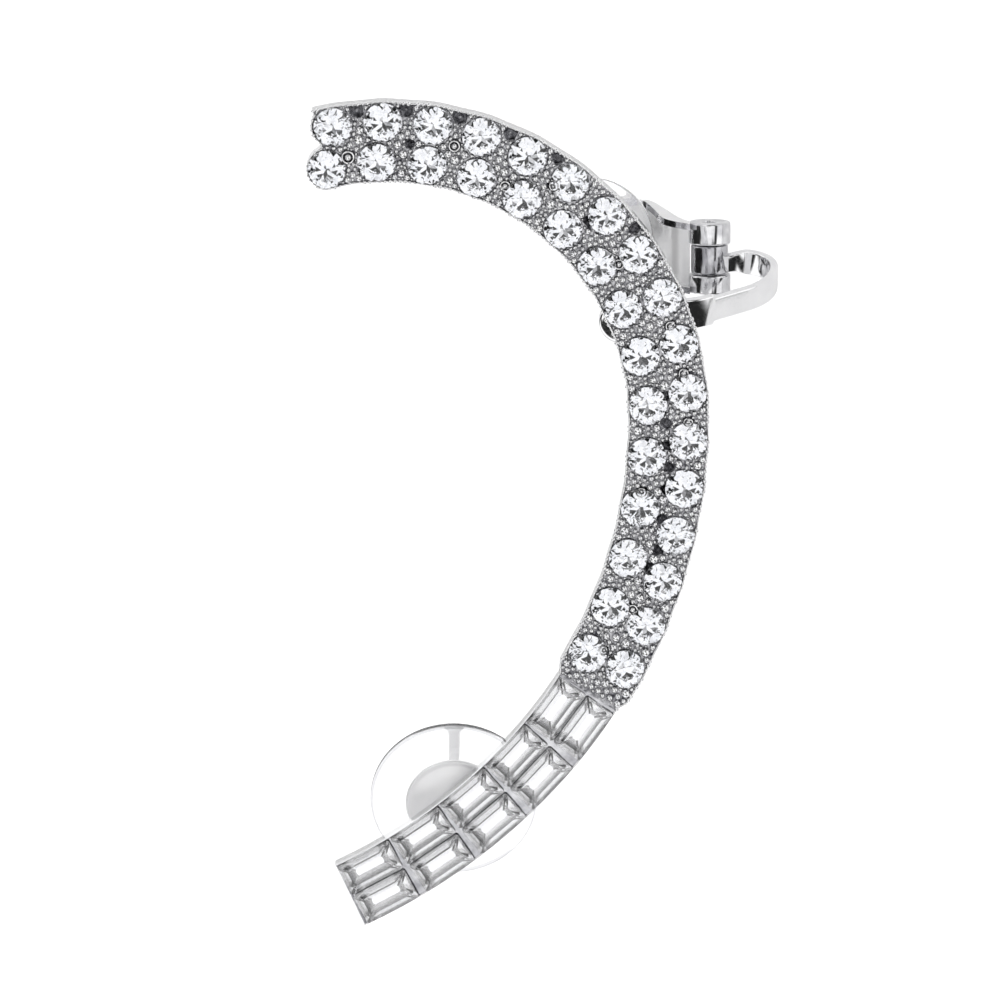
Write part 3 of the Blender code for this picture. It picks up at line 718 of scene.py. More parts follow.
@dataclass(frozen=True)
class BandPlan:
    """The band's sizes and the places of its stones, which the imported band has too."""

    path: ArcPath = ArcPath((-0.0124, 0.0241), math.radians(14.9),
                            ((0.0346, 0.0189), (0.0253, 0.0349), (1.0, 0.0395)))
    thickness: float = 0.0020
    back_chamfer: float = 0.0003
    round_diameter: float = 0.0026
    row_gap: float = 0.00014
    round_wall: float = 0.00008
    rows: tuple[tuple[Row, int, float, float], ...] = (
        (Row.OUTER, 17, 0.00147, 0.00314), (Row.INNER, 15, 0.00043, 0.00368))
    baguette_length: float = 0.00394
    baguette_width: float = 0.00218
    baguette_gap: float = 0.00010
    baguette_wall: float = 0.00009
    baguette_lead: float = 0.00109
    baguette_pairs: int = 5
    stone_lift: float = 0.00006
    end_wall: float = 0.00010
    scallop: float = 0.00005
    shoulder: float = 0.0009

    @property
    def round_half(self) -> float:
        """Half the band's width where the round stones are."""
        return 0.5 * self.row_gap + self.round_diameter + self.round_wall

    @property
    def baguette_half(self) -> float:
        """Half the band's width where the baguettes are."""
        return 0.5 * self.baguette_gap + self.baguette_width + self.baguette_wall

    @property
    def neck(self) -> float:
        """Where the band narrows for the baguettes."""
        last = max(start + (count - 1) * pitch for _, count, start, pitch in self.rows)
        return last + 0.5 * self.round_diameter + self.baguette_lead

    @property
    def baguette_pitch(self) -> float:
        """Distance from one pair of baguettes to the next, along the midline."""
        tightest = min(radius for _, radius in self.path.arcs[1:])
        return (self.baguette_length + self.baguette_gap) / (1.0 - self.baguette_half / tightest)

    @property
    def length(self) -> float:
        """The midline's length."""
        return self.neck + self.baguette_pairs * self.baguette_pitch

    def row_offset(self, row: Row) -> float:
        """The offset of a row's round stones from the midline."""
        return row.value * 0.5 * (self.round_diameter + self.row_gap)

    def rounds(self) -> tuple[list[str], Array]:
        """Lay out the round stones.

        Returns:
            Their packed names, and x, y, heading and place along, one to a line.
        """
        names, places = [], []
        for row, count, start, pitch in self.rows:
            along = start + np.arange(count) * pitch
            places.append(np.stack((*self.path.at(along, self.row_offset(row)), along), axis=-1))
            names += [f"round_stone_{row.label}_{i + 1:02d}" for i in range(count)]
        return names, np.vstack(places)

    def baguettes(self) -> tuple[list[str], Array]:
        """Lay out the baguettes.

        Returns:
            Their packed names, and x, y, heading and place along, one to a line.
        """
        along = self.neck + (np.arange(self.baguette_pairs) + 0.5) * self.baguette_pitch
        offset = 0.5 * (self.baguette_width + self.baguette_gap)
        names = [f"baguette_{row.label}_{i + 1:02d}" for row in Row
                 for i in range(self.baguette_pairs)]
        places = [np.stack((*self.path.at(along, row.value * offset), along), axis=-1)
                  for row in Row]
        return names, np.vstack(places)

    def start_at(self, offset: Array) -> Array:
        """Where the band starts at each offset: the front of the metal round the end stones.

        The start is the smallest along - sqrt(r^2 - (offset - stone's offset)^2) of
        the two end stones, and nowhere past the notch between them.

        Args:
            offset: offsets from the midline.

        Returns:
            The distance along the midline at which the metal starts.
        """
        reach = 0.5 * self.round_diameter + self.end_wall
        starts = []
        for row, _, start, _ in self.rows:
            inside = np.maximum(reach ** 2 - (offset - self.row_offset(row)) ** 2, 0.0)
            starts.append(start - np.sqrt(inside))
        return np.minimum(np.minimum(*starts), 0.5 * self.rows[0][2])

    def edge(self, along: Array, row: Row) -> Array:
        """Half the width at each place, with the edge drawn in between the round stones.

        The edge is the full half width less scallop * (1 - cos a) / 2, where a
        turns once from stone to stone, and it narrows at the neck by a smooth step.

        Args:
            along: distances along the midline.
            row: the side of the band.

        Returns:
            The distance from the midline to the edge.
        """
        _, _, start, pitch = next(entry for entry in self.rows if entry[0] is row)
        wave = 0.5 * (1.0 - np.cos(math.tau * (along - start) / pitch))
        step = np.clip((along - (self.neck - self.shoulder)) / self.shoulder, 0.0, 1.0)
        step = step * step * (3.0 - 2.0 * step)
        rounds = self.round_half - self.scallop * wave * (along > start)
        return rounds + (self.baguette_half - rounds) * step

    def placement(self, nodes: dict[str, Object], cut: "RoundCut") -> Placement:
        """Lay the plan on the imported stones.

        Args:
            nodes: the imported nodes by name.
            cut: the round stones' cut, which says how high their corners' mean lies.

        Returns:
            The placement of the band's frame in the row frame.
        """
        names, places = self.rounds()
        height = self.thickness + self.stone_lift + cut.mean_height
        planned = np.column_stack((places[:, :2], np.full(len(places), height)))
        found = []
        for name in names:
            mesh = nodes[name].data
            points = np.zeros(3 * len(mesh.vertices))
            mesh.vertices.foreach_get("co", points)
            found.append(np.unique(points.reshape(-1, 3), axis=0).mean(axis=0))
        return Placement.seated(planned, np.array(found))


# Stones


def ring(radius: float, height: float, sides: int, turn: float = 0.0) -> Array:
    """Corners of a regular polygon about Z, from an angle of turn."""
    angle = turn + np.arange(sides) * math.tau / sides
    return np.column_stack((radius * np.cos(angle), radius * np.sin(angle),
                            np.full(sides, height)))


@dataclass(frozen=True)
class RoundCut:
    """Brilliant cut on a silvered back, with Z = 0 at the lower edge of its girdle.

    Eight main facets rise from the point to the girdle. Above it eight kites,
    eight stars and sixteen half facets climb to an eight-sided table.
    """

    diameter: float = 0.0026
    table: float = 0.00145
    crown: float = 0.00042
    girdle: float = 0.00010
    pavilion: float = 0.00110
    star: float = 0.00099
    ridge: float = 0.00050

    @property
    def mean_height(self) -> float:
        """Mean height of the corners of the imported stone: table, two girdle rings and point."""
        return (8.0 * (self.girdle + self.crown) + 16.0 * self.girdle - self.pavilion) / 41.0

    def shell(self) -> Shell:
        """Facets of the stone: glass (0) from the girdle up, foil (1) under it.

        Star and ridge points lie in the planes of the kites and the mains, so
        their heights fall by cos(22.5 degrees) times their radius along those
        slopes.

        Returns:
            A closed faceted shell.
        """
        radius, top = 0.5 * self.diameter, self.girdle + self.crown
        tilt = math.cos(math.tau / 16.0)
        crown_slope = self.crown / (radius - 0.5 * self.table)
        star_height = top - (self.star * tilt - 0.5 * self.table) * crown_slope
        ridge_height = self.pavilion * (self.ridge * tilt / radius - 1.0)
        half = math.tau / 16.0
        points = np.vstack((
            ring(0.5 * self.table, top, 8), ring(self.star, star_height, 8, half),
            ring(radius, self.girdle, 16), ring(radius, 0.0, 16),
            ring(self.ridge, ridge_height, 8, half), [[0.0, 0.0, -self.pavilion]]))
        i, k = np.arange(8), np.arange(16)
        after, before, next_k = (i + 1) % 8, (i - 1) % 8, (k + 1) % 16
        table, star, upper, lower, ridge, point = 0, 8, 16, 32, 48, 56
        faces = (
            (np.arange(8)[None, :], 0),
            (np.column_stack((table + i, star + i, table + after)), 0),
            (np.column_stack((table + i, star + before, upper + 2 * i, star + i)), 0),
            (np.column_stack((star + i, upper + 2 * i, upper + 2 * i + 1)), 0),
            (np.column_stack((star + i, upper + 2 * i + 1, upper + (2 * i + 2) % 16)), 0),
            (np.column_stack((upper + k, lower + k, lower + next_k, upper + next_k)), 0),
            (np.column_stack((ridge + i, lower + 2 * i + 1, lower + 2 * i)), 1),
            (np.column_stack((ridge + i, lower + (2 * i + 2) % 16, lower + 2 * i + 1)), 1),
            (np.column_stack((np.full(8, point), ridge + i, lower + 2 * i, ridge + before)), 1),
        )
        return Shell(points, list(faces))


@dataclass(frozen=True)
class BaguetteCut:
    """Step cut on a silvered back, with Z = 0 at the lower edge of its girdle."""

    length: float = 0.00394
    width: float = 0.00218
    crown: float = 0.00034
    girdle: float = 0.00012
    pavilion: float = 0.00095
    bevel: float = 0.00048
    corner: float = 0.00013
    keel: float = 0.00044
    step_depth: float = 0.00050
    step_in: float = 0.00036

    def outline(self, length: float, width: float, height: float, corner: float) -> Array:
        """A rectangle with cut corners.

        Args:
            length: its size along X.
            width: its size along Y.
            height: its place on Z.
            corner: how much each corner is cut back.

        Returns:
            Eight points.
        """
        a, b = 0.5 * length, 0.5 * width
        x = np.array((a, a - corner, corner - a, -a, -a, corner - a, a - corner, a))
        y = np.array((b - corner, b, b, b - corner, corner - b, -b, -b, corner - b))
        return np.column_stack((x, y, np.full(8, height)))

    def shell(self) -> Shell:
        """Facets of the stone: glass (0) from the girdle up, foil (1) under it.

        Five rings of eight points run from the keel to the table, two of them
        under the girdle.

        Returns:
            A closed faceted shell.
        """
        inner = 0.5 * self.corner
        top = self.girdle + self.crown
        points = np.vstack((
            self.outline(self.length - 2.0 * self.pavilion, self.keel, -self.pavilion, inner),
            self.outline(self.length - 2.0 * self.step_in, self.width - 2.0 * self.step_in,
                         -self.step_depth, self.corner),
            self.outline(self.length, self.width, 0.0, self.corner),
            self.outline(self.length, self.width, self.girdle, self.corner),
            self.outline(self.length - 2.0 * self.bevel, self.width - 2.0 * self.bevel, top, inner),
        ))
        sides, keel, table = grid_quads(5, 8), np.arange(8)[None, :], 4 * 8
        below = 2 * 8
        return Shell(points, [(keel, 1), (sides[:below], 1), (sides[below:], 0),
                              (table + keel, 0)])


@dataclass
class Stones:
    """Every large stone of the cuff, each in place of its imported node."""

    plan: BandPlan
    place: Placement
    finishes: Finishes
    rounds: RoundCut = RoundCut()
    longs: BaguetteCut = BaguetteCut()
    round_tilt: float = math.radians(2.5)
    long_tilt: float = math.radians(0.7)
    spread: float = 2.4

    def set_turn(self, number: int, heading: float, is_round: bool) -> Array:
        """The turn of a stone as it was set by hand: tilted a little, a round one spun too.

        Args:
            number: the stone's number, which picks the side that it tilts to.
            heading: the band's heading at the stone.
            is_round: whether it is a round stone.

        Returns:
            The turn in the band's frame.
        """
        side = self.spread * number
        tilt = self.round_tilt if is_round else self.long_tilt
        spin = side * side if is_round else 0.0
        leaned = turn_about(2, side) @ turn_about(0, tilt) @ turn_about(2, -side)
        return leaned @ turn_about(2, heading + spin)

    def build(self) -> list[Object]:
        """Cut and set the stones.

        Returns:
            One object for each stone.
        """
        lift = self.plan.thickness + self.plan.stone_lift
        made = []
        for (names, places), cut, foil in (
                (self.plan.rounds(), self.rounds, self.finishes.foil),
                (self.plan.baguettes(), self.longs, self.finishes.soft_foil)):
            shell = cut.shell()
            for number, (name, (x, y, heading, _)) in enumerate(zip(names, places)):
                turn = self.set_turn(number, heading, cut is self.rounds)
                seat = self.place.inside(turn, np.array((x, y, lift)))
                made.append(make_piece(f"cut_{name}", shell.placed(seat),
                                       [self.finishes.glass, foil], Body.CUFF, Slot.CRYSTAL,
                                       (name,), sharp=None))
        return made


# Metal of the band


def tube_loop(line: Array, radius: float, sides: int = 8) -> Shell:
    """A round wire along a closed flat line.

    A point is the line's point plus radius (cos a * the line's side direction +
    sin a * Z).

    Args:
        line: a closed line, one (x, y, z) to a row.
        radius: the wire's radius.
        sides: points round the wire.

    Returns:
        A closed shell.
    """
    forward = np.roll(line, -1, axis=0) - np.roll(line, 1, axis=0)
    side = np.column_stack((-forward[:, 1], forward[:, 0], np.zeros(len(line))))
    side /= np.linalg.norm(side, axis=1, keepdims=True)
    angle = np.arange(sides) * math.tau / sides
    points = (line[:, None] + radius * np.cos(angle)[None, :, None] * side[:, None]
              + radius * np.sin(angle)[None, :, None] * np.array((0.0, 0.0, 1.0)))
    return Shell(points.reshape(-1, 3), [(grid_quads(len(line), sides, close_rows=True), 0)])


def bead_shell() -> Shell:
    """A ball of radius 1 with poles on Z: (cos b cos a, cos b sin a, sin b).

    Returns:
        A closed shell.
    """
    rise = np.linspace(-0.5 * math.pi, 0.5 * math.pi, BEAD_RINGS + 1)
    out = np.cos(rise)
    out[[0, -1]] = 0.0
    return revolved(np.column_stack((out, np.sin(rise))), BEAD_SIDES)


def raised(places: Array, height: Array | float) -> Array:
    """Points at the x and y of each place and at a height."""
    return np.column_stack((places[:, :2], height + np.zeros(len(places))))


@dataclass
class BandMetal:
    """The cast band: its plate with seats, the wire round its edge and its grains."""

    plan: BandPlan
    place: Placement
    finishes: Finishes
    floor_drop: float = 0.00024
    rim_width: float = 0.00012
    rim_drop: float = 0.00004
    foot_share: float = 1.4
    seat_clearance: float = 0.00006
    channel_depth: float = 0.00108
    divider_drop: float = 0.00016
    step: float = 0.00015
    wire_radius: float = 0.000065
    wire_inset: float = 0.00006
    bead_largest: float = 0.00036
    bead_usual: float = 0.00021
    bead_smallest: float = 0.00009
    bead_spread: float = 0.92
    bead_rise: float = 0.85
    bead_seed: int = 5
    pack_from: float = -0.0010
    pack_grid: float = 0.00007
    prong_radius: float = 0.00016
    prong_height: float = 0.00026
    prong_apart: float = 1.1
    prong_inset: float = 0.6
    plate_sharp: float = 50.0
    wire_sharp: float = 60.0
    grain_sharp: float = 80.0
    ring_sides: int = 20
    ring_wall: float = 0.14
    ringed_ball: float = 0.52
    edge_grain: float = 0.00014
    edge_spread: float = 0.00006
    edge_pitch: float = 0.00034
    edge_seed: int = 8
    front_length: float = 0.003
    cross_points: tuple[int, int] = (60, 30)
    hollow_depth: float = 0.00070
    hollows: tuple[tuple[float, float, float], ...] = (
        (0.00304, 0.00215, 0.00046), (0.00605, 0.00215, 0.00046), (0.00932, 0.00218, 0.00046),
        (0.01250, 0.00218, 0.00044), (0.01572, 0.00220, 0.00040), (0.02205, 0.00215, 0.00036),
        (0.03300, -0.00010, 0.00034), (0.03389, -0.00045, 0.00030), (0.03490, -0.00015, 0.00034),
        (0.03640, 0.00000, 0.00032), (0.03790, 0.00020, 0.00034), (0.03939, 0.00030, 0.00036),
        (0.04145, 0.00025, 0.00034), (0.04348, 0.00050, 0.00034), (0.04480, 0.00020, 0.00030),
        (0.00640, -0.00010, 0.00030), (0.01975, 0.00020, 0.00034))
    ringed: tuple[tuple[float, float, float], ...] = (
        (0.00211, -0.00085, 0.00046), (0.00937, 0.00025, 0.00040), (0.01361, -0.00115, 0.00036),
        (0.01650, 0.00058, 0.00038), (0.02850, 0.00115, 0.00034), (0.03163, 0.00125, 0.00034),
        (0.03481, 0.00132, 0.00034), (0.03986, -0.00145, 0.00036), (0.04790, 0.00010, 0.00036),
        (0.02330, -0.00010, 0.00036), (0.05130, -0.00060, 0.00034))

    @property
    def floor(self) -> float:
        """Height of the cast floor between the stones."""
        return self.plan.thickness - self.floor_drop

    def drawn(self, along: Array) -> Array:
        """How much of the front's curve each place still takes, from 1 down to 0."""
        return np.clip(1.0 - along / self.front_length, 0.0, 1.0)

    def to_stone(self, x: Array, y: Array) -> Array:
        """Distance from each place to the middle of the nearest round stone."""
        _, places = self.plan.rounds()
        return np.min(np.hypot(x[..., None] - places[:, 0], y[..., None] - places[:, 1]), axis=-1)

    def surface_height(self, x: Array, y: Array, along: Array, inset: Array) -> Array:
        """Height of the metal's upper surface.

        The rim stands along the edges. Inside it lies the floor, cut by a cone
        under each round stone, which follows height = girdle - depth * (1 - r /
        radius), by hollows that fall by depth * (1 - (r / radius)^2), and by a
        sloped slot under each baguette.

        Args:
            x: places across the band's frame.
            y: places up the band's frame.
            along: distance along the midline.
            inset: distance in from the edge.

        Returns:
            Heights above the band's back.
        """
        plan, cut, long = self.plan, RoundCut(), BaguetteCut()
        girdle = plan.thickness + plan.stone_lift - self.seat_clearance
        seat = girdle - cut.pavilion * (1.0 - 2.0 * self.to_stone(x, y) / cut.diameter)
        inside = np.minimum(seat, self.floor)
        for hollow_x, hollow_y, radius in self.sites(self.hollows + self.ringed):
            share = 1.0 - np.hypot(x - hollow_x, y - hollow_y) ** 2 / radius ** 2
            inside = inside - self.hollow_depth * np.maximum(share, 0.0)
        _, longs = plan.baguettes()
        east, north = x[..., None] - longs[:, 0], y[..., None] - longs[:, 1]
        c, s = np.cos(longs[:, 2]), np.sin(longs[:, 2])
        depth_in = np.max(np.minimum(0.5 * long.length - np.abs(c * east + s * north),
                                     0.5 * long.width - np.abs(c * north - s * east)), axis=-1)
        slot = girdle - long.step_depth / long.step_in * np.maximum(depth_in, 0.0)
        slot = np.maximum(slot, plan.thickness - self.channel_depth)
        channel = (along > plan.neck) & (along < plan.length - 2.0 * self.rim_width)
        inside = np.where(channel, np.minimum(slot, plan.thickness - self.divider_drop), inside)
        rim = plan.thickness - self.rim_drop
        return np.where(inset < self.rim_width, rim, inside)

    def plate(self) -> Shell:
        """The band's plate on a grid of place along and offset.

        Columns run across the top from edge to edge and back under it, where the
        back's edges are chamfered. Rows run along the midline, and the first
        ones are drawn forward round the end stones.

        Returns:
            A closed shell.
        """
        plan = self.plan
        along = np.linspace(0.0, plan.length, math.ceil(plan.length / self.step) + 1)
        edge_in = self.rim_width * np.array((0.0, 0.5, 1.0, self.foot_share))
        half = plan.round_half
        middle = np.linspace(edge_in[-1] - half, half - edge_in[-1],
                             math.ceil(2.0 * half / self.step))[1:-1]
        shares = np.concatenate((edge_in - half, middle, (half - edge_in)[::-1])) / half
        outer = plan.edge(along, Row.OUTER)[:, None]
        inner = plan.edge(along, Row.INNER)[:, None]
        offset = np.where(shares > 0.0, shares * outer, shares * inner)
        place = along[:, None] + plan.start_at(offset) * self.drawn(along)[:, None]
        x, y, _ = plan.path.at(place, offset)
        inset = np.minimum(np.where(offset > 0, outer - offset, inner + offset),
                           place - plan.start_at(offset))
        inset = np.where(inset > self.rim_width, inset, np.minimum(inset, self.rim_width * 0.5))
        height = self.surface_height(x, y, place, inset)
        top = np.stack((x, y, height), axis=-1)
        under_offset = np.clip(offset, -inner + plan.back_chamfer, outer - plan.back_chamfer)
        under_x, under_y, _ = plan.path.at(place, under_offset)
        under = np.stack((under_x, under_y, np.zeros_like(x)), axis=-1)
        waist = np.stack((x, y, np.full_like(x, plan.back_chamfer)), axis=-1)
        rows = np.concatenate((top, waist[:, -1:], under[:, ::-1], waist[:, :1]), axis=1)
        count, columns = len(along), rows.shape[1]
        wide = offset.shape[1]
        i = np.arange(wide - 1)
        mirrored = columns - 2 - i
        last = (count - 1) * columns
        ends = [np.column_stack((i, i + 1, mirrored - 1, mirrored)),
                np.array([[wide - 1, wide, wide + 1, wide + 1], [0, columns - 1, columns - 2, 0]])]
        caps = np.vstack((ends[0], ends[0][:, ::-1] + last))
        corners = np.array([[wide - 1, wide, wide + 1], [columns - 1, 0, columns - 2]])
        shell = Shell(rows.reshape(-1, 3), [(grid_quads(count, columns), 0), (caps, 0),
                                            (corners, 0), (corners[:, ::-1] + last, 0)])
        # The floor inside the rim gets the near-black cast finish and the channel under the
        # baguettes the dark grey one: both are painted shade in the recesses.
        floor, channel = np.zeros((2, count, columns), dtype=bool)
        floor[:, :wide] = inset >= self.rim_width
        channel[:, :wide] = floor[:, :wide] & (place > plan.neck)
        return shell.relooked(floor.ravel(), 1).relooked(channel.ravel(), 2)

    def edge_line(self) -> tuple[Array, Array]:
        """The closed line that runs round the band's edge.

        Returns:
            The line's points, and each one's place along the band.
        """
        plan, step = self.plan, 0.5 * self.step
        inset = self.wire_inset
        along = np.arange(0.0, plan.length - inset, step)
        sides = []
        for row in Row:
            offset = row.value * (plan.edge(along, row) - inset)
            place = along + (plan.start_at(offset) + inset) * self.drawn(along)
            sides.append((place, offset))
        (outer_place, outer_offset), (inner_place, inner_offset) = sides
        front_points, back_points = self.cross_points
        across = np.linspace(inner_offset[0], outer_offset[0], front_points)[1:-1]
        back = np.linspace(outer_offset[-1], inner_offset[-1], back_points)[1:-1]
        place = np.concatenate((plan.start_at(across) + inset, outer_place,
                                np.full(len(back), outer_place[-1]), inner_place[::-1]))
        offset = np.concatenate((across, outer_offset, back, inner_offset[::-1]))
        x, y, _ = plan.path.at(place, offset)
        height = np.full(len(x), plan.thickness - self.rim_drop)
        return np.column_stack((x, y, height)), place

    def edge_grains(self) -> Shell:
        """Grains strung along the edge beside the round stones, each of its own size.

        Returns:
            A shell of balls.
        """
        line, place = self.edge_line()
        run = np.concatenate(([0.0], np.cumsum(np.linalg.norm(np.diff(line, axis=0), axis=1))))
        stops = np.arange(0.0, run[-1], self.edge_pitch)
        stops = stops[np.interp(stops, run, place) < self.plan.neck]
        centres = np.column_stack([np.interp(stops, run, values) for values in line.T])
        chance = np.random.default_rng(self.edge_seed)
        radius = self.edge_grain + self.edge_spread * chance.uniform(-1.0, 1.0, len(stops))
        return bead_shell().repeated(centres, radius)

    def prong_sites(self) -> Array:
        """Set pairs of prongs between the stones of each row.

        Returns:
            x and y, one to a line.
        """
        plan = self.plan
        sites = []
        for row, count, start, pitch in plan.rows:
            middles = start + (np.arange(count - 1) + 0.5) * pitch
            gap = 0.5 * (pitch - plan.round_diameter)
            apart = min(self.prong_apart * self.prong_radius,
                        gap - self.prong_inset * self.prong_radius)
            for side in (-1.0, 1.0):
                x, y, _ = plan.path.at(middles + side * apart, plan.row_offset(row))
                sites.append(np.column_stack((x, y)))
        return np.vstack(sites)

    def sites(self, table: tuple[tuple[float, float, float], ...]) -> Array:
        """Lay a table of places on the band.

        Args:
            table: place along, offset and radius, one to a row.

        Returns:
            x, y and radius, one to a line.
        """
        along, offset, radius = np.array(table).T
        x, y, _ = self.plan.path.at(along, offset)
        return np.column_stack((x, y, radius))

    def pack(self) -> Array:
        """Fill the floor with grains.

        The room at each point of a fine grid is its distance to the nearest
        stone, prong, hollow, grain or edge. Each turn takes the roomiest point
        and sets a grain there, of the usual radius or by chance a larger one.

        Returns:
            Grains as x, y and radius, one to a line.
        """
        plan = self.plan
        along = np.arange(self.pack_from, plan.neck, self.pack_grid)[:, None]
        offset = np.arange(-plan.round_half, plan.round_half, self.pack_grid)[None, :]
        x, y, _ = plan.path.at(along + 0.0 * offset, offset + 0.0 * along)
        room = self.to_stone(x, y) - 0.5 * plan.round_diameter
        prongs = self.prong_sites()
        prongs = np.column_stack((prongs, np.full(len(prongs), self.prong_radius)))
        for taken in np.vstack((prongs, self.sites(self.hollows), self.sites(self.ringed))):
            room = np.minimum(room, np.hypot(x - taken[0], y - taken[1]) - taken[2])
        edge = np.where(offset > 0, plan.edge(along, Row.OUTER), plan.edge(along, Row.INNER))
        room = np.minimum(room, edge - np.abs(offset) - self.rim_width)
        room = np.minimum(room, along - plan.start_at(offset + 0.0 * along) - self.rim_width)
        room = np.minimum(room, plan.neck - self.rim_width - along)
        grains = []
        chance = np.random.default_rng(self.bead_seed)
        while True:
            spot = np.unravel_index(np.argmax(room), room.shape)
            free = room[spot]
            if free < self.bead_smallest:
                break
            wish = self.bead_usual + (self.bead_largest - self.bead_usual) * chance.random() ** 2
            radius = min(free, wish)
            grains.append((x[spot], y[spot], radius))
            room = np.minimum(room, np.hypot(x - x[spot], y - y[spot]) - radius * self.bead_spread)
        return np.array(grains)

    def ringed_grain(self) -> Shell:
        """A ball inside a thin ring, of outer radius 1.

        Returns:
            A shell of both.
        """
        line = ring(1.0 - self.ring_wall, 0.0, self.ring_sides)
        ball = bead_shell().repeated(np.zeros((1, 3)), np.array([self.ringed_ball]))
        return Shell.joined([tube_loop(line, self.ring_wall), ball])

    def build(self) -> list[Object]:
        """Make the band's metal.

        Returns:
            The plate, the wire, the prongs and all grains.
        """
        plan, finishes, ball = self.plan, self.finishes, bead_shell()
        grains, ringed, prongs = self.pack(), self.sites(self.ringed), self.prong_sites()
        LOG.info("grains: %d, ringed grains: %d", len(grains), len(ringed))
        prong = np.tile((self.prong_radius, self.prong_radius, self.prong_height), (len(prongs), 1))
        radius, top = grains[:, 2], plan.thickness
        wire = [finishes.polished], (), self.wire_sharp
        smooth = [finishes.grain], (), self.grain_sharp
        pieces = (
            # The plate's floor and channel finishes are painted shade.
            ("band_plate", self.plate(), [finishes.polished, finishes.cast, finishes.painted_shade],
             ("band",), self.plate_sharp),
            ("edge_wire", tube_loop(self.edge_line()[0], self.wire_radius), *wire),
            ("edge_grains", self.edge_grains(), *smooth),
            ("prong_beads", ball.repeated(raised(prongs, top), prong), *smooth),
            ("granulation", ball.repeated(raised(grains, self.floor + self.bead_rise * radius),
                                          radius), *smooth),
            ("ringed_grains", self.ringed_grain().repeated(raised(ringed, top), ringed[:, 2]),
             *smooth),
        )
        return [make_piece(name, shell.placed(self.place), looks, Body.CUFF, Slot.SILVER,
                           stands_for, sharp) for name, shell, looks, stands_for, sharp in pieces]


# Post and clutch


@dataclass
class EarPost:
    """The post on the band's back and the clutch that slides on it."""

    place: Placement
    finishes: Finishes
    radius: float = 0.00037
    length: float = 0.0120
    root: float = 0.00060
    tip_radius: float = 0.00026
    notch_from_tip: float = 0.0012
    notch_width: float = 0.0005
    notch_depth: float = 0.00012
    setback: float = 0.00080
    bore_clearance: float = 0.00006
    hub_radius: float = 0.00110
    hub_height: float = 0.00019
    dome_radius: float = 0.00330
    dome_height: float = 0.00095
    waist_radius: float = 0.00231
    waist_depth: float = 0.00043
    rim: float = 0.00035
    rim_roll: float = 0.00010
    barrel_radius: float = 0.00140
    barrel_length: float = 0.0030
    disc_radius: float = 0.00568
    disc_thickness: float = 0.00090
    disc_edge: float = 0.00025
    disc_gap: float = 0.00005
    rim_share: float = 0.95
    post_corner: float = 0.0001
    nut_corner: float = 0.00016
    disc_corner: float = 0.0002
    post_sides: int = 32
    sides: int = 96

    def post(self) -> Shell:
        """The post's outline turned about its axis, with a notch near a round tip.

        Returns:
            A closed shell.
        """
        notch = self.notch_from_tip - self.length
        groove, half = self.radius - self.notch_depth, 0.5 * self.notch_width
        outline = np.array((
            (0.0, self.root), (self.radius, self.root), (self.radius, notch + half),
            (groove, notch + 0.5 * half), (groove, notch - 0.5 * half),
            (self.radius, notch - half), (self.radius, self.radius - self.length),
            (self.tip_radius, self.radius - self.tip_radius - self.length), (0.0, -self.length)))
        return revolved(rounded_corners(outline, self.post_corner), self.post_sides)

    def nut(self) -> Shell:
        """The nut's outline turned about the post: hub, dished flange, rolled rim and barrel.

        Returns:
            A closed shell.
        """
        bore = self.radius + self.bore_clearance
        back = self.setback + self.dome_height
        end = back + self.barrel_length
        rolled = self.dome_radius - self.rim_roll
        outline = np.array((
            (bore, -self.setback), (self.hub_radius, -self.setback),
            (self.hub_radius, -self.setback - self.hub_height),
            (self.waist_radius, -self.setback - self.waist_depth),
            (self.dome_radius - self.rim, self.rim - back),
            (rolled, self.rim + 0.5 * self.rim_roll - back),
            (self.dome_radius, 0.5 * (self.rim + self.rim_roll) - back), (rolled, -back),
            (self.barrel_radius, -back), (self.barrel_radius, self.rim_roll - end),
            (self.barrel_radius - self.rim_roll, -end), (bore, -end)))
        outline = rounded_corners(outline, self.nut_corner, closed=True)
        return revolved(outline, self.sides, closed=True)

    def disc(self) -> Shell:
        """The clear disc's outline turned about the post, with softened edges.

        Returns:
            A closed shell, whose edge has its own grey-tinted finish: painted shade for the dark
            outline that refraction gives the clear edge.
        """
        front = self.setback + self.dome_height + self.disc_gap
        back = front + self.disc_thickness
        bore, inset = self.barrel_radius + self.disc_gap, self.disc_radius - self.disc_edge
        outline = np.array((
            (bore, -front), (inset, -front), (self.disc_radius, -front - self.disc_edge),
            (self.disc_radius, self.disc_edge - back), (inset, -back), (bore, -back)))
        outline = rounded_corners(outline, self.disc_corner, closed=True)
        shell = revolved(outline, self.sides, closed=True)
        out = np.hypot(shell.points[:, 0], shell.points[:, 1])
        # Painted shade: the edge faces take the grey-tinted plastic for the refracted dark outline.
        return shell.relooked(out > self.disc_radius - self.rim_share * self.disc_edge, 1)

    def build(self) -> list[Object]:
        """Make the post, the nut and the disc.

        Returns:
            The three pieces.
        """
        finishes, clutch = self.finishes, Body.CLUTCH
        pieces = (
            ("ear_post", self.post(), [finishes.polished], Body.CUFF, Slot.SILVER),
            ("clutch_cap", self.nut(), [finishes.satin], clutch, Slot.SILVER, ("clutch_nut",)),
            ("clutch_plate", self.disc(), [finishes.plastic, finishes.plastic_painted_edge_shade], clutch,
             Slot.CLEAR, ("clutch_disc",)),
        )
        return [make_piece(name, shell.placed(self.place), *rest) for name, shell, *rest in pieces]


# Clip


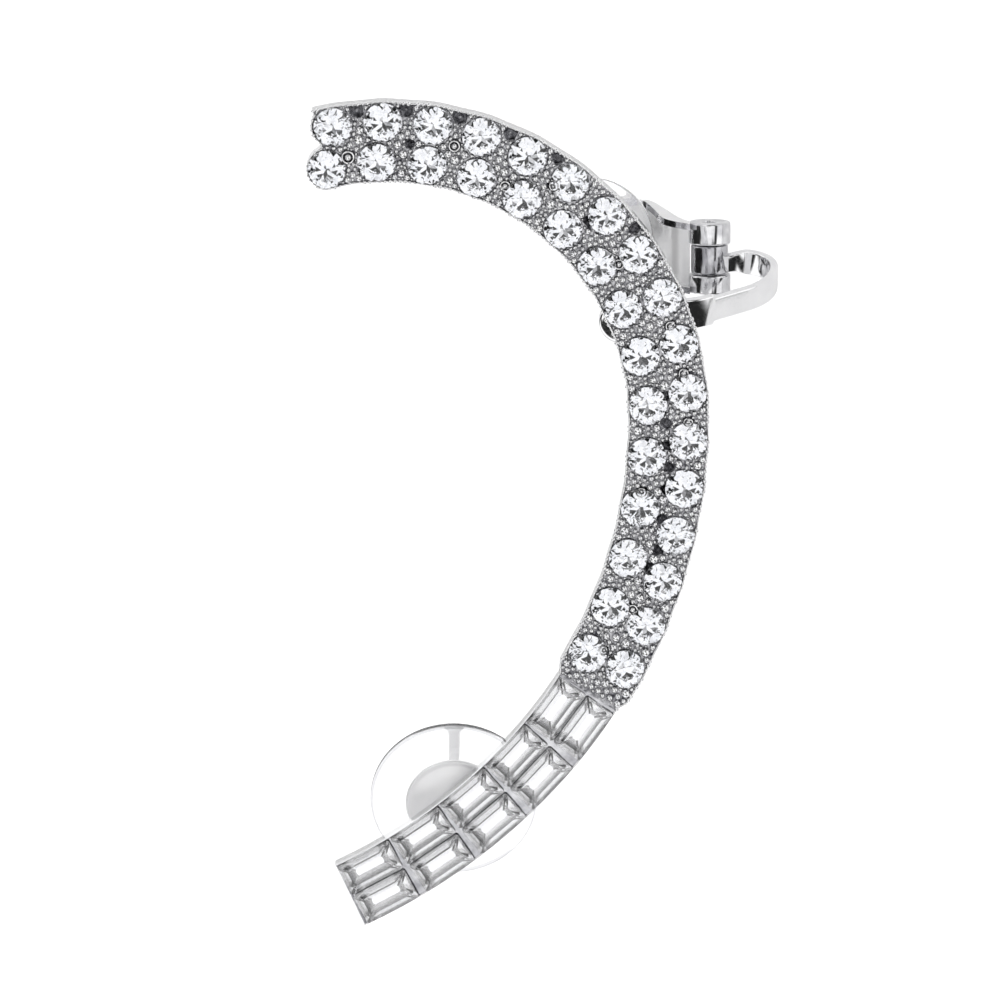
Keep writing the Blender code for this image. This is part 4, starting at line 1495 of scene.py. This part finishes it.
@dataclass
class EarClip:
    """The bent strap, its hinge, and the paddle with its clear pad.

    Shapes are drawn across X and -Z of the clip's frame, and the hinge runs
    along Y.
    """

    place: Placement
    finishes: Finishes
    solder_radius: float = 0.00160
    solder_depth: float = 0.00070
    solder_sink: float = 0.00020
    strap: ArcPath = ArcPath((0.0, 0.00045), 0.0, (
        (0.00380, 0.0), (0.00210, -0.0036), (0.00320, 0.0), (0.00410, -0.0042),
        (0.00450, -0.0022)))
    strap_thickness: float = 0.00055
    strap_width: float = 0.00170
    root_width: float = 0.00215
    root_length: float = 0.00620
    end_width: float = 0.00125
    end_length: float = 0.00090
    strap_rise: float = 0.00042
    hinge: tuple[float, float] = (0.0060, 0.0087)
    hinge_lean: float = -WEAR_LEAN
    pin_radius: float = 0.00042
    pin_clearance: float = 0.00006
    pin_recess: float = 0.00012
    knuckle_radius: float = 0.00125
    ear_radius: float = 0.00143
    lower_ear: tuple[float, float] = (-0.00179, -0.00054)
    knuckle: tuple[float, float] = (-0.00046, 0.00149)
    upper_ear: tuple[float, float] = (0.00157, 0.00304)
    root_gap: float = 0.00008
    paddle_arcs: tuple[tuple[float, float], ...] = (
        (0.00030, 0.0), (0.00091, 0.0010), (0.00220, 0.0), (0.00102, -0.0013), (0.00550, 0.0))
    paddle_thickness: float = 0.00045
    flange: float = 0.0010
    flange_length: float = 0.0038
    lip: float = 0.00025
    paddle_rise: float = 0.00110
    rise_length: float = 0.00400
    pad_radius: float = 0.00410
    pad_thickness: float = 0.00120
    pad_rim: float = 0.00055
    pad_edge: float = 0.00012
    pad_boss_radius: float = 0.00185
    pad_boss_height: float = 0.00110
    pad_gap: float = 0.00006
    pad_steps: int = 14
    shoulder: float = 0.00008
    strap_corner: float = 0.00010
    strap_steps: int = 90
    strap_ends: tuple[float, float] = (0.35, 0.7)
    spoon_steps: int = 40
    spoon_turns: tuple[float, ...] = (0, 10, 20, 30, 40, 50, 60, 68, 75, 81, 85)
    thinnest_share: float = 0.45
    solder_corner: float = 0.0003
    solder_sides: int = 48
    pin_corner: float = 0.00008
    barrel_corner: float = 0.00012
    spoon_bevel: float = 0.00009
    sides: int = 64

    @property
    def level_place(self) -> Placement:
        """The frame of the hinge and the paddle, level with the band: its Y is the pin."""
        shift = np.array((self.hinge[0], 0.0, -self.hinge[1]))
        return self.place.inside(turn_about(0, self.hinge_lean), shift)

    @property
    def pin_place(self) -> Placement:
        """The hinge's frame turned so that its Z runs along the pin."""
        return self.level_place.inside(turn_about(0, math.radians(-90.0)), np.zeros(3))

    @property
    def paddle(self) -> ArcPath:
        """The paddle's middle line from the hinge, as (x, depth)."""
        return ArcPath((-(self.knuckle_radius + self.root_gap), 0.0), math.pi, self.paddle_arcs)

    def turned(self, outline: Array, corner: float, closed: bool = False) -> Shell:
        """Turn an outline with softened corners about the hinge."""
        shell = revolved(rounded_corners(outline, corner, closed=closed), self.sides, closed)
        return shell.placed(self.pin_place)

    def barrel(self, radius: float, low: float, high: float) -> Shell:
        """A bored cylinder about the hinge.

        Args:
            radius: its outer radius.
            low: its lower end on the pin.
            high: its upper end.

        Returns:
            A closed shell.
        """
        bore = self.pin_radius + self.pin_clearance
        outline = np.array(((bore, low), (radius, low), (radius, high), (bore, high)))
        return self.turned(outline, self.barrel_corner, closed=True)

    def strap_shell(self) -> Shell:
        """A strip with softened edges, carried along the strap's line into the knuckle.

        Each section has its width along Y and its thickness along the line's
        normal. The root is wider and ends in a shoulder.

        Returns:
            A closed shell.
        """
        path, ends = self.strap, np.array(self.strap_ends)
        along = np.sort(np.concatenate((
            np.linspace(0.0, path.length, self.strap_steps),
            (self.root_length - self.shoulder, self.root_length + self.shoulder))))
        x, depth, heading = path.at(along)
        width = np.where(along < self.root_length, self.root_width, self.strap_width)
        taper = np.clip((along - path.length + self.end_length) / self.end_length + 0.5, 0.0, 1.0)
        width += (self.end_width - self.strap_width) * taper
        reach = np.array((self.hinge[0] - x[-1], self.hinge[1] - depth[-1]))
        x = np.append(x, x[-1] + reach[0] * ends)
        depth = np.append(depth, depth[-1] + reach[1] * ends)
        heading = np.append(heading, np.full(len(ends), math.atan2(reach[1], reach[0])))
        width = np.append(width, np.full(len(ends), self.end_width))
        box = np.array(((-0.5, -0.5), (0.5, -0.5), (0.5, 0.5), (-0.5, 0.5)))
        sections = np.stack([
            rounded_corners(box * (wide, self.strap_thickness), self.strap_corner, closed=True)
            for wide in width])
        middles = np.column_stack((x, np.full(len(x), self.strap_rise), -depth))
        across = np.tile((0.0, 1.0, 0.0), (len(x), 1))
        above = np.column_stack((-np.sin(heading), np.zeros(len(x)), -np.cos(heading)))
        return swept(middles, across, above, sections).placed(self.place)

    def spoon_shell(self) -> Shell:
        """The paddle's plate: a U section carried along the cranked line.

        The turned edges fall from the flange's height to the lip's, and the
        outline closes in a half circle: half width sqrt(r^2 - past^2).

        Returns:
            A closed shell.
        """
        path = self.paddle
        low, high = self.lower_ear[0], self.upper_ear[1]
        half, rise = 0.5 * (high - low), 0.5 * (high + low)
        round_from = path.length - half
        turns = np.radians(self.spoon_turns)
        along = np.concatenate((np.linspace(0.0, round_from, self.spoon_steps)[:-1],
                                round_from + half * np.sin(turns)))
        past = np.maximum(0.0, along - round_from)
        wide = np.sqrt(np.maximum(half ** 2 - past ** 2, 0.0))
        share = np.minimum(1.0, along / self.flange_length)
        lip = self.flange + (self.lip - self.flange) * share * share * (3.0 - 2.0 * share)
        t = self.paddle_thickness
        wall = np.minimum(t, self.thinnest_share * wide)
        low_face, high_face = np.full(len(along), -0.5 * t), np.full(len(along), 0.5 * t)
        across = np.stack((-wide, wide, wide, wide - wall, wide - wall, wall - wide, wall - wide,
                           -wide), axis=-1)
        above = np.stack((low_face, low_face, high_face + lip, high_face + lip, high_face,
                          high_face, high_face + lip, high_face + lip), axis=-1)
        x, depth, _ = path.at(along[:, None] + 0.0 * above, above)
        climb = rise + self.paddle_rise * np.minimum(1.0, along / self.rise_length)[:, None]
        rings = np.stack((x, climb + across, -depth), axis=-1)
        count = rings.shape[1]
        caps = np.array([[0, 1, 4, 5], [1, 2, 3, 4], [0, 5, 6, 7]])
        last = (len(rings) - 1) * count
        shell = Shell(rings.reshape(-1, 3), [(grid_quads(len(rings), count), 0),
                                             (np.vstack((caps, caps[:, ::-1] + last)), 0)])
        # Painted reflection: the tops of the turned edges take the dark grey plating, standing in
        # for the dark surroundings they mirror.
        painted_dark_edges = above > high_face[:, None]
        return shell.relooked(painted_dark_edges.ravel(), 1).placed(self.level_place)

    def pad_shell(self) -> Shell:
        """The clear pad: a domed outline on a boss, turned about the pad's own axis.

        Returns:
            A closed shell.
        """
        back, dome = self.pad_boss_height, self.pad_thickness
        radius = self.pad_radius
        out = np.sin(np.linspace(0.0, 0.5 * math.pi, self.pad_steps))
        fall = (dome - self.pad_rim) * (1.0 - np.sqrt(1.0 - out ** 2))
        crown = np.column_stack((radius * out, back + dome - fall))
        outline = np.vstack((crown, ((radius, back + self.pad_edge),
                                     (radius - self.pad_edge, back), (self.pad_boss_radius, back),
                                     (self.pad_boss_radius, 0.0), (0.0, 0.0))))
        half = 0.5 * (self.upper_ear[1] - self.lower_ear[0])
        path = self.paddle
        x, depth, heading = path.at(path.length - half, 0.5 * self.paddle_thickness + self.pad_gap)
        foot = 0.5 * (self.upper_ear[1] + self.lower_ear[0]) + self.paddle_rise
        shift = np.array((float(x), foot, -float(depth)))
        seat = self.level_place.inside(turn_about(1, float(heading) - math.pi), shift)
        return revolved(outline, self.sides).placed(seat)

    def build(self) -> list[Object]:
        """Make the clip.

        Returns:
            The solder, strap, knuckle, pin, paddle and pad.
        """
        finishes = self.finishes
        cuff, paddle, silver = Body.CUFF, Body.PADDLE, Slot.SILVER
        wide, radius = self.solder_radius, self.pin_radius
        solder = np.array(((0.0, self.solder_sink), (wide, self.solder_sink),
                           (wide, -self.solder_depth), (0.0, -self.solder_depth)))
        solder = revolved(rounded_corners(solder, self.solder_corner), self.solder_sides)
        low, high = self.lower_ear[0] + self.pin_recess, self.upper_ear[1] - self.pin_recess
        pin = self.turned(np.array(((0.0, low), (radius, low), (radius, high), (0.0, high))),
                          self.pin_corner)
        ears = Shell.joined([self.barrel(self.ear_radius, *ear)
                             for ear in (self.lower_ear, self.upper_ear)])
        knuckle = self.barrel(self.knuckle_radius, *self.knuckle)
        pieces = (
            # The paddle's turned edges carry the dark grey plating as a painted dark reflection.
            ("paddle_spoon", self.spoon_shell(), [finishes.satin, finishes.painted_shade], paddle, silver,
             ("paddle",)),
            ("solder_pad", solder.placed(self.place), [finishes.polished], cuff, silver),
            ("clip_strap", self.strap_shell(), [finishes.polished], cuff, silver),
            # Painted shade: the knuckle is dark grey for the shade round the hinge.
            ("clip_knuckle", knuckle, [finishes.painted_shade], cuff, silver),
            ("hinge_rivet", pin, [finishes.pin], cuff, Slot.PIN, ("hinge_pin",)),
            ("paddle_ears", ears, [finishes.hinge], paddle, silver),
            ("comfort_pad", self.pad_shell(), [finishes.plastic], paddle, Slot.CLEAR,
             ("paddle_pad",)),
        )
        made = [make_piece(*piece) for piece in pieces]
        bevelled(made[0], self.spoon_bevel)
        return made


# Studio


@dataclass
class Studio:
    """Camera, floor and light."""

    place: Placement
    camera_rise: float = math.radians(10.0)
    distance: float = 0.90
    view_width: float = 0.06757
    sensor: float = 36.0
    floor_size: float = 1.2
    floor_white: float = 0.92
    floor_glow: tuple[float, float] = (0.22, 0.70)
    panels: int = 3
    panel_turn: float = 0.9
    tiers: float = 9.0
    tier_shift: float = -0.88
    gap: tuple[float, float] = (-0.92, -0.42)
    softbox: tuple[float, float] = (0.960, 0.982)
    shade: tuple[float, float] = (0.980, 0.992)
    brightest: float = 1.25
    darkest: float = 0.02
    backdrop: float = 1.0

    def camera(self) -> Object:
        """A long lens, tilted up the band from its face by the camera's rise.

        Returns:
            The camera.
        """
        c, s = math.cos(self.camera_rise), math.sin(self.camera_rise)
        axes = np.column_stack(((1.0, 0.0, 0.0), (0.0, c, -s), (0.0, s, c)))
        turn = self.place.turn @ axes
        data = bpy.data.cameras.new("camera")
        data.sensor_width = self.sensor
        data.lens = self.sensor * self.distance / self.view_width
        data.clip_start, data.clip_end = 0.01, 10.0
        made = linked("camera", data)
        matrix = np.eye(4)
        matrix[:3, :3] = turn
        matrix[:3, 3] = self.place.shift + self.distance * turn[:, 2]
        made.matrix_world = Matrix(matrix.tolist())
        bpy.context.scene.camera = made
        return made

    def floor(self) -> Object:
        """A plain white sheet that is lit a little from below, as on a light table.

        Returns:
            The floor.
        """
        half = 0.5 * self.floor_size
        mesh = bpy.data.meshes.new("studio_floor")
        corners = [(-half, -half, 0.0), (half, -half, 0.0), (half, half, 0.0), (-half, half, 0.0)]
        mesh.from_pydata(corners, [], [(0, 1, 2, 3)])
        nodes = Nodes("studio_floor")
        nodes.put({"Base Color": (*[self.floor_white] * 3, 1.0), "Roughness": 1.0,
                   "Specular IOR Level": 0.0, "Emission Color": (1.0, 1.0, 1.0, 1.0)})
        path = nodes.add("ShaderNodeLightPath")
        through = nodes.add("ShaderNodeMath", operation="MAXIMUM")
        nodes.link(path.outputs["Is Camera Ray"], through.inputs[0])
        nodes.link(path.outputs["Is Transmission Ray"], through.inputs[1])
        glow = nodes.spread(through.outputs[0], *self.floor_glow, 0.0, 1.0)
        nodes.link(glow, nodes.shader.inputs["Emission Strength"])
        mesh.materials.append(nodes.material)
        made = linked("studio_floor", mesh)
        return made

    def surround(self) -> None:
        """Soft white panels in tiers with dark gaps between them, and one softbox.

        The panels follow the sine of their number times the azimuth, and the tiers
        the sine of a multiple of the height. Where a sine is low, there is a gap.
        The softbox stands where the stones' tables mirror it to the lens, and the
        lens itself is in the dark.
        """
        world = bpy.data.worlds.new("studio")
        world.use_nodes = True
        tree = world.node_tree
        background = tree.nodes["Background"]
        background.inputs["Color"].default_value = (1.0, 1.0, 1.0, 1.0)

        def maths(operation: str, *values: object) -> bpy.types.NodeSocket:
            """Put sockets or numbers through a Math node.

            Args:
                operation: what it works out.
                values: its inputs, in order.

            Returns:
                The result.
            """
            node = tree.nodes.new("ShaderNodeMath")
            node.operation = operation
            for index, value in enumerate(values):
                if isinstance(value, bpy.types.NodeSocket):
                    tree.links.new(value, node.inputs[index])
                else:
                    node.inputs[index].default_value = value
            return node.outputs[0]

        def soft_step(value: bpy.types.NodeSocket, low: float, high: float) -> bpy.types.NodeSocket:
            """Step smoothly from 0 below low to 1 above high.

            Args:
                value: the value.
                low: where the step starts.
                high: where it ends.

            Returns:
                The step.
            """
            node = tree.nodes.new("ShaderNodeMapRange")
            node.interpolation_type = "SMOOTHSTEP"
            node.inputs["From Min"].default_value = low
            node.inputs["From Max"].default_value = high
            tree.links.new(value, node.inputs["Value"])
            return node.outputs["Result"]

        def cone(direction: Array, wide: float, narrow: float) -> bpy.types.NodeSocket:
            """Mark the light within a cone.

            Args:
                direction: the cone's axis.
                wide: the cosine at the outside of its soft edge.
                narrow: the cosine at the inside of it.

            Returns:
                1 inside and 0 outside.
            """
            node = tree.nodes.new("ShaderNodeVectorMath")
            node.operation = "DOT_PRODUCT"
            tree.links.new(place.outputs["Generated"], node.inputs[0])
            node.inputs[1].default_value = direction.tolist()
            return soft_step(node.outputs["Value"], wide, narrow)

        place = tree.nodes.new("ShaderNodeTexCoord")
        split = tree.nodes.new("ShaderNodeSeparateXYZ")
        tree.links.new(place.outputs["Generated"], split.inputs["Vector"])
        east, north, up = split.outputs
        around = maths("MULTIPLY_ADD", maths("ARCTAN2", north, east), float(self.panels),
                       self.panel_turn)
        panels = soft_step(maths("SINE", around), *self.gap)
        tiers = soft_step(maths("SINE", maths("MULTIPLY_ADD", up, self.tiers, self.tier_shift)),
                          *self.gap)
        rise = self.camera_rise
        lens = self.place.turn @ np.array((0.0, math.sin(rise), math.cos(rise)))
        mirrored = self.place.turn @ np.array((0.0, -math.sin(rise), math.cos(rise)))
        open_light = maths("MULTIPLY", maths("MULTIPLY", panels, tiers),
                           maths("SUBTRACT", 1.0, cone(lens, *self.shade)))
        lit = maths("MAXIMUM", open_light, cone(mirrored, *self.softbox))
        bright = maths("MULTIPLY_ADD", lit, self.brightest - self.darkest, self.darkest)
        path = tree.nodes.new("ShaderNodeLightPath")
        seen = path.outputs["Is Camera Ray"]
        mixed = maths("ADD", maths("MULTIPLY", bright, maths("SUBTRACT", 1.0, seen)),
                      maths("MULTIPLY", seen, self.backdrop))
        tree.links.new(mixed, background.inputs["Strength"])
        bpy.context.scene.world = world

    def build(self) -> None:
        """Set up the studio."""
        self.camera()
        self.floor()
        self.surround()
        bpy.context.scene.view_settings.view_transform = "Standard"


def main() -> None:
    """Dress the cuff."""
    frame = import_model()
    plan, cut = BandPlan(), RoundCut()
    place = plan.placement(frame["nodes"], cut)
    lean = turn_about(0, WEAR_LEAN)
    clip_x, clip_y, _ = plan.path.at(CLIP_ALONG, CLIP_OFFSET)
    post_x, post_y, _ = plan.path.at(POST_ALONG, POST_OFFSET)
    finishes = Finishes.made()
    parts = (
        BandMetal(plan, place, finishes),
        Stones(plan, place, finishes),
        EarPost(place.inside(lean, np.array((float(post_x), float(post_y), 0.0))), finishes),
        EarClip(place.inside(lean, np.array((float(clip_x), float(clip_y), 0.0))), finishes),
    )
    for part in parts:
        made = part.build()
        LOG.info("%s: %d pieces", type(part).__name__, len(made))
    Studio(place).build()


if __name__ == "__main__":
    main()
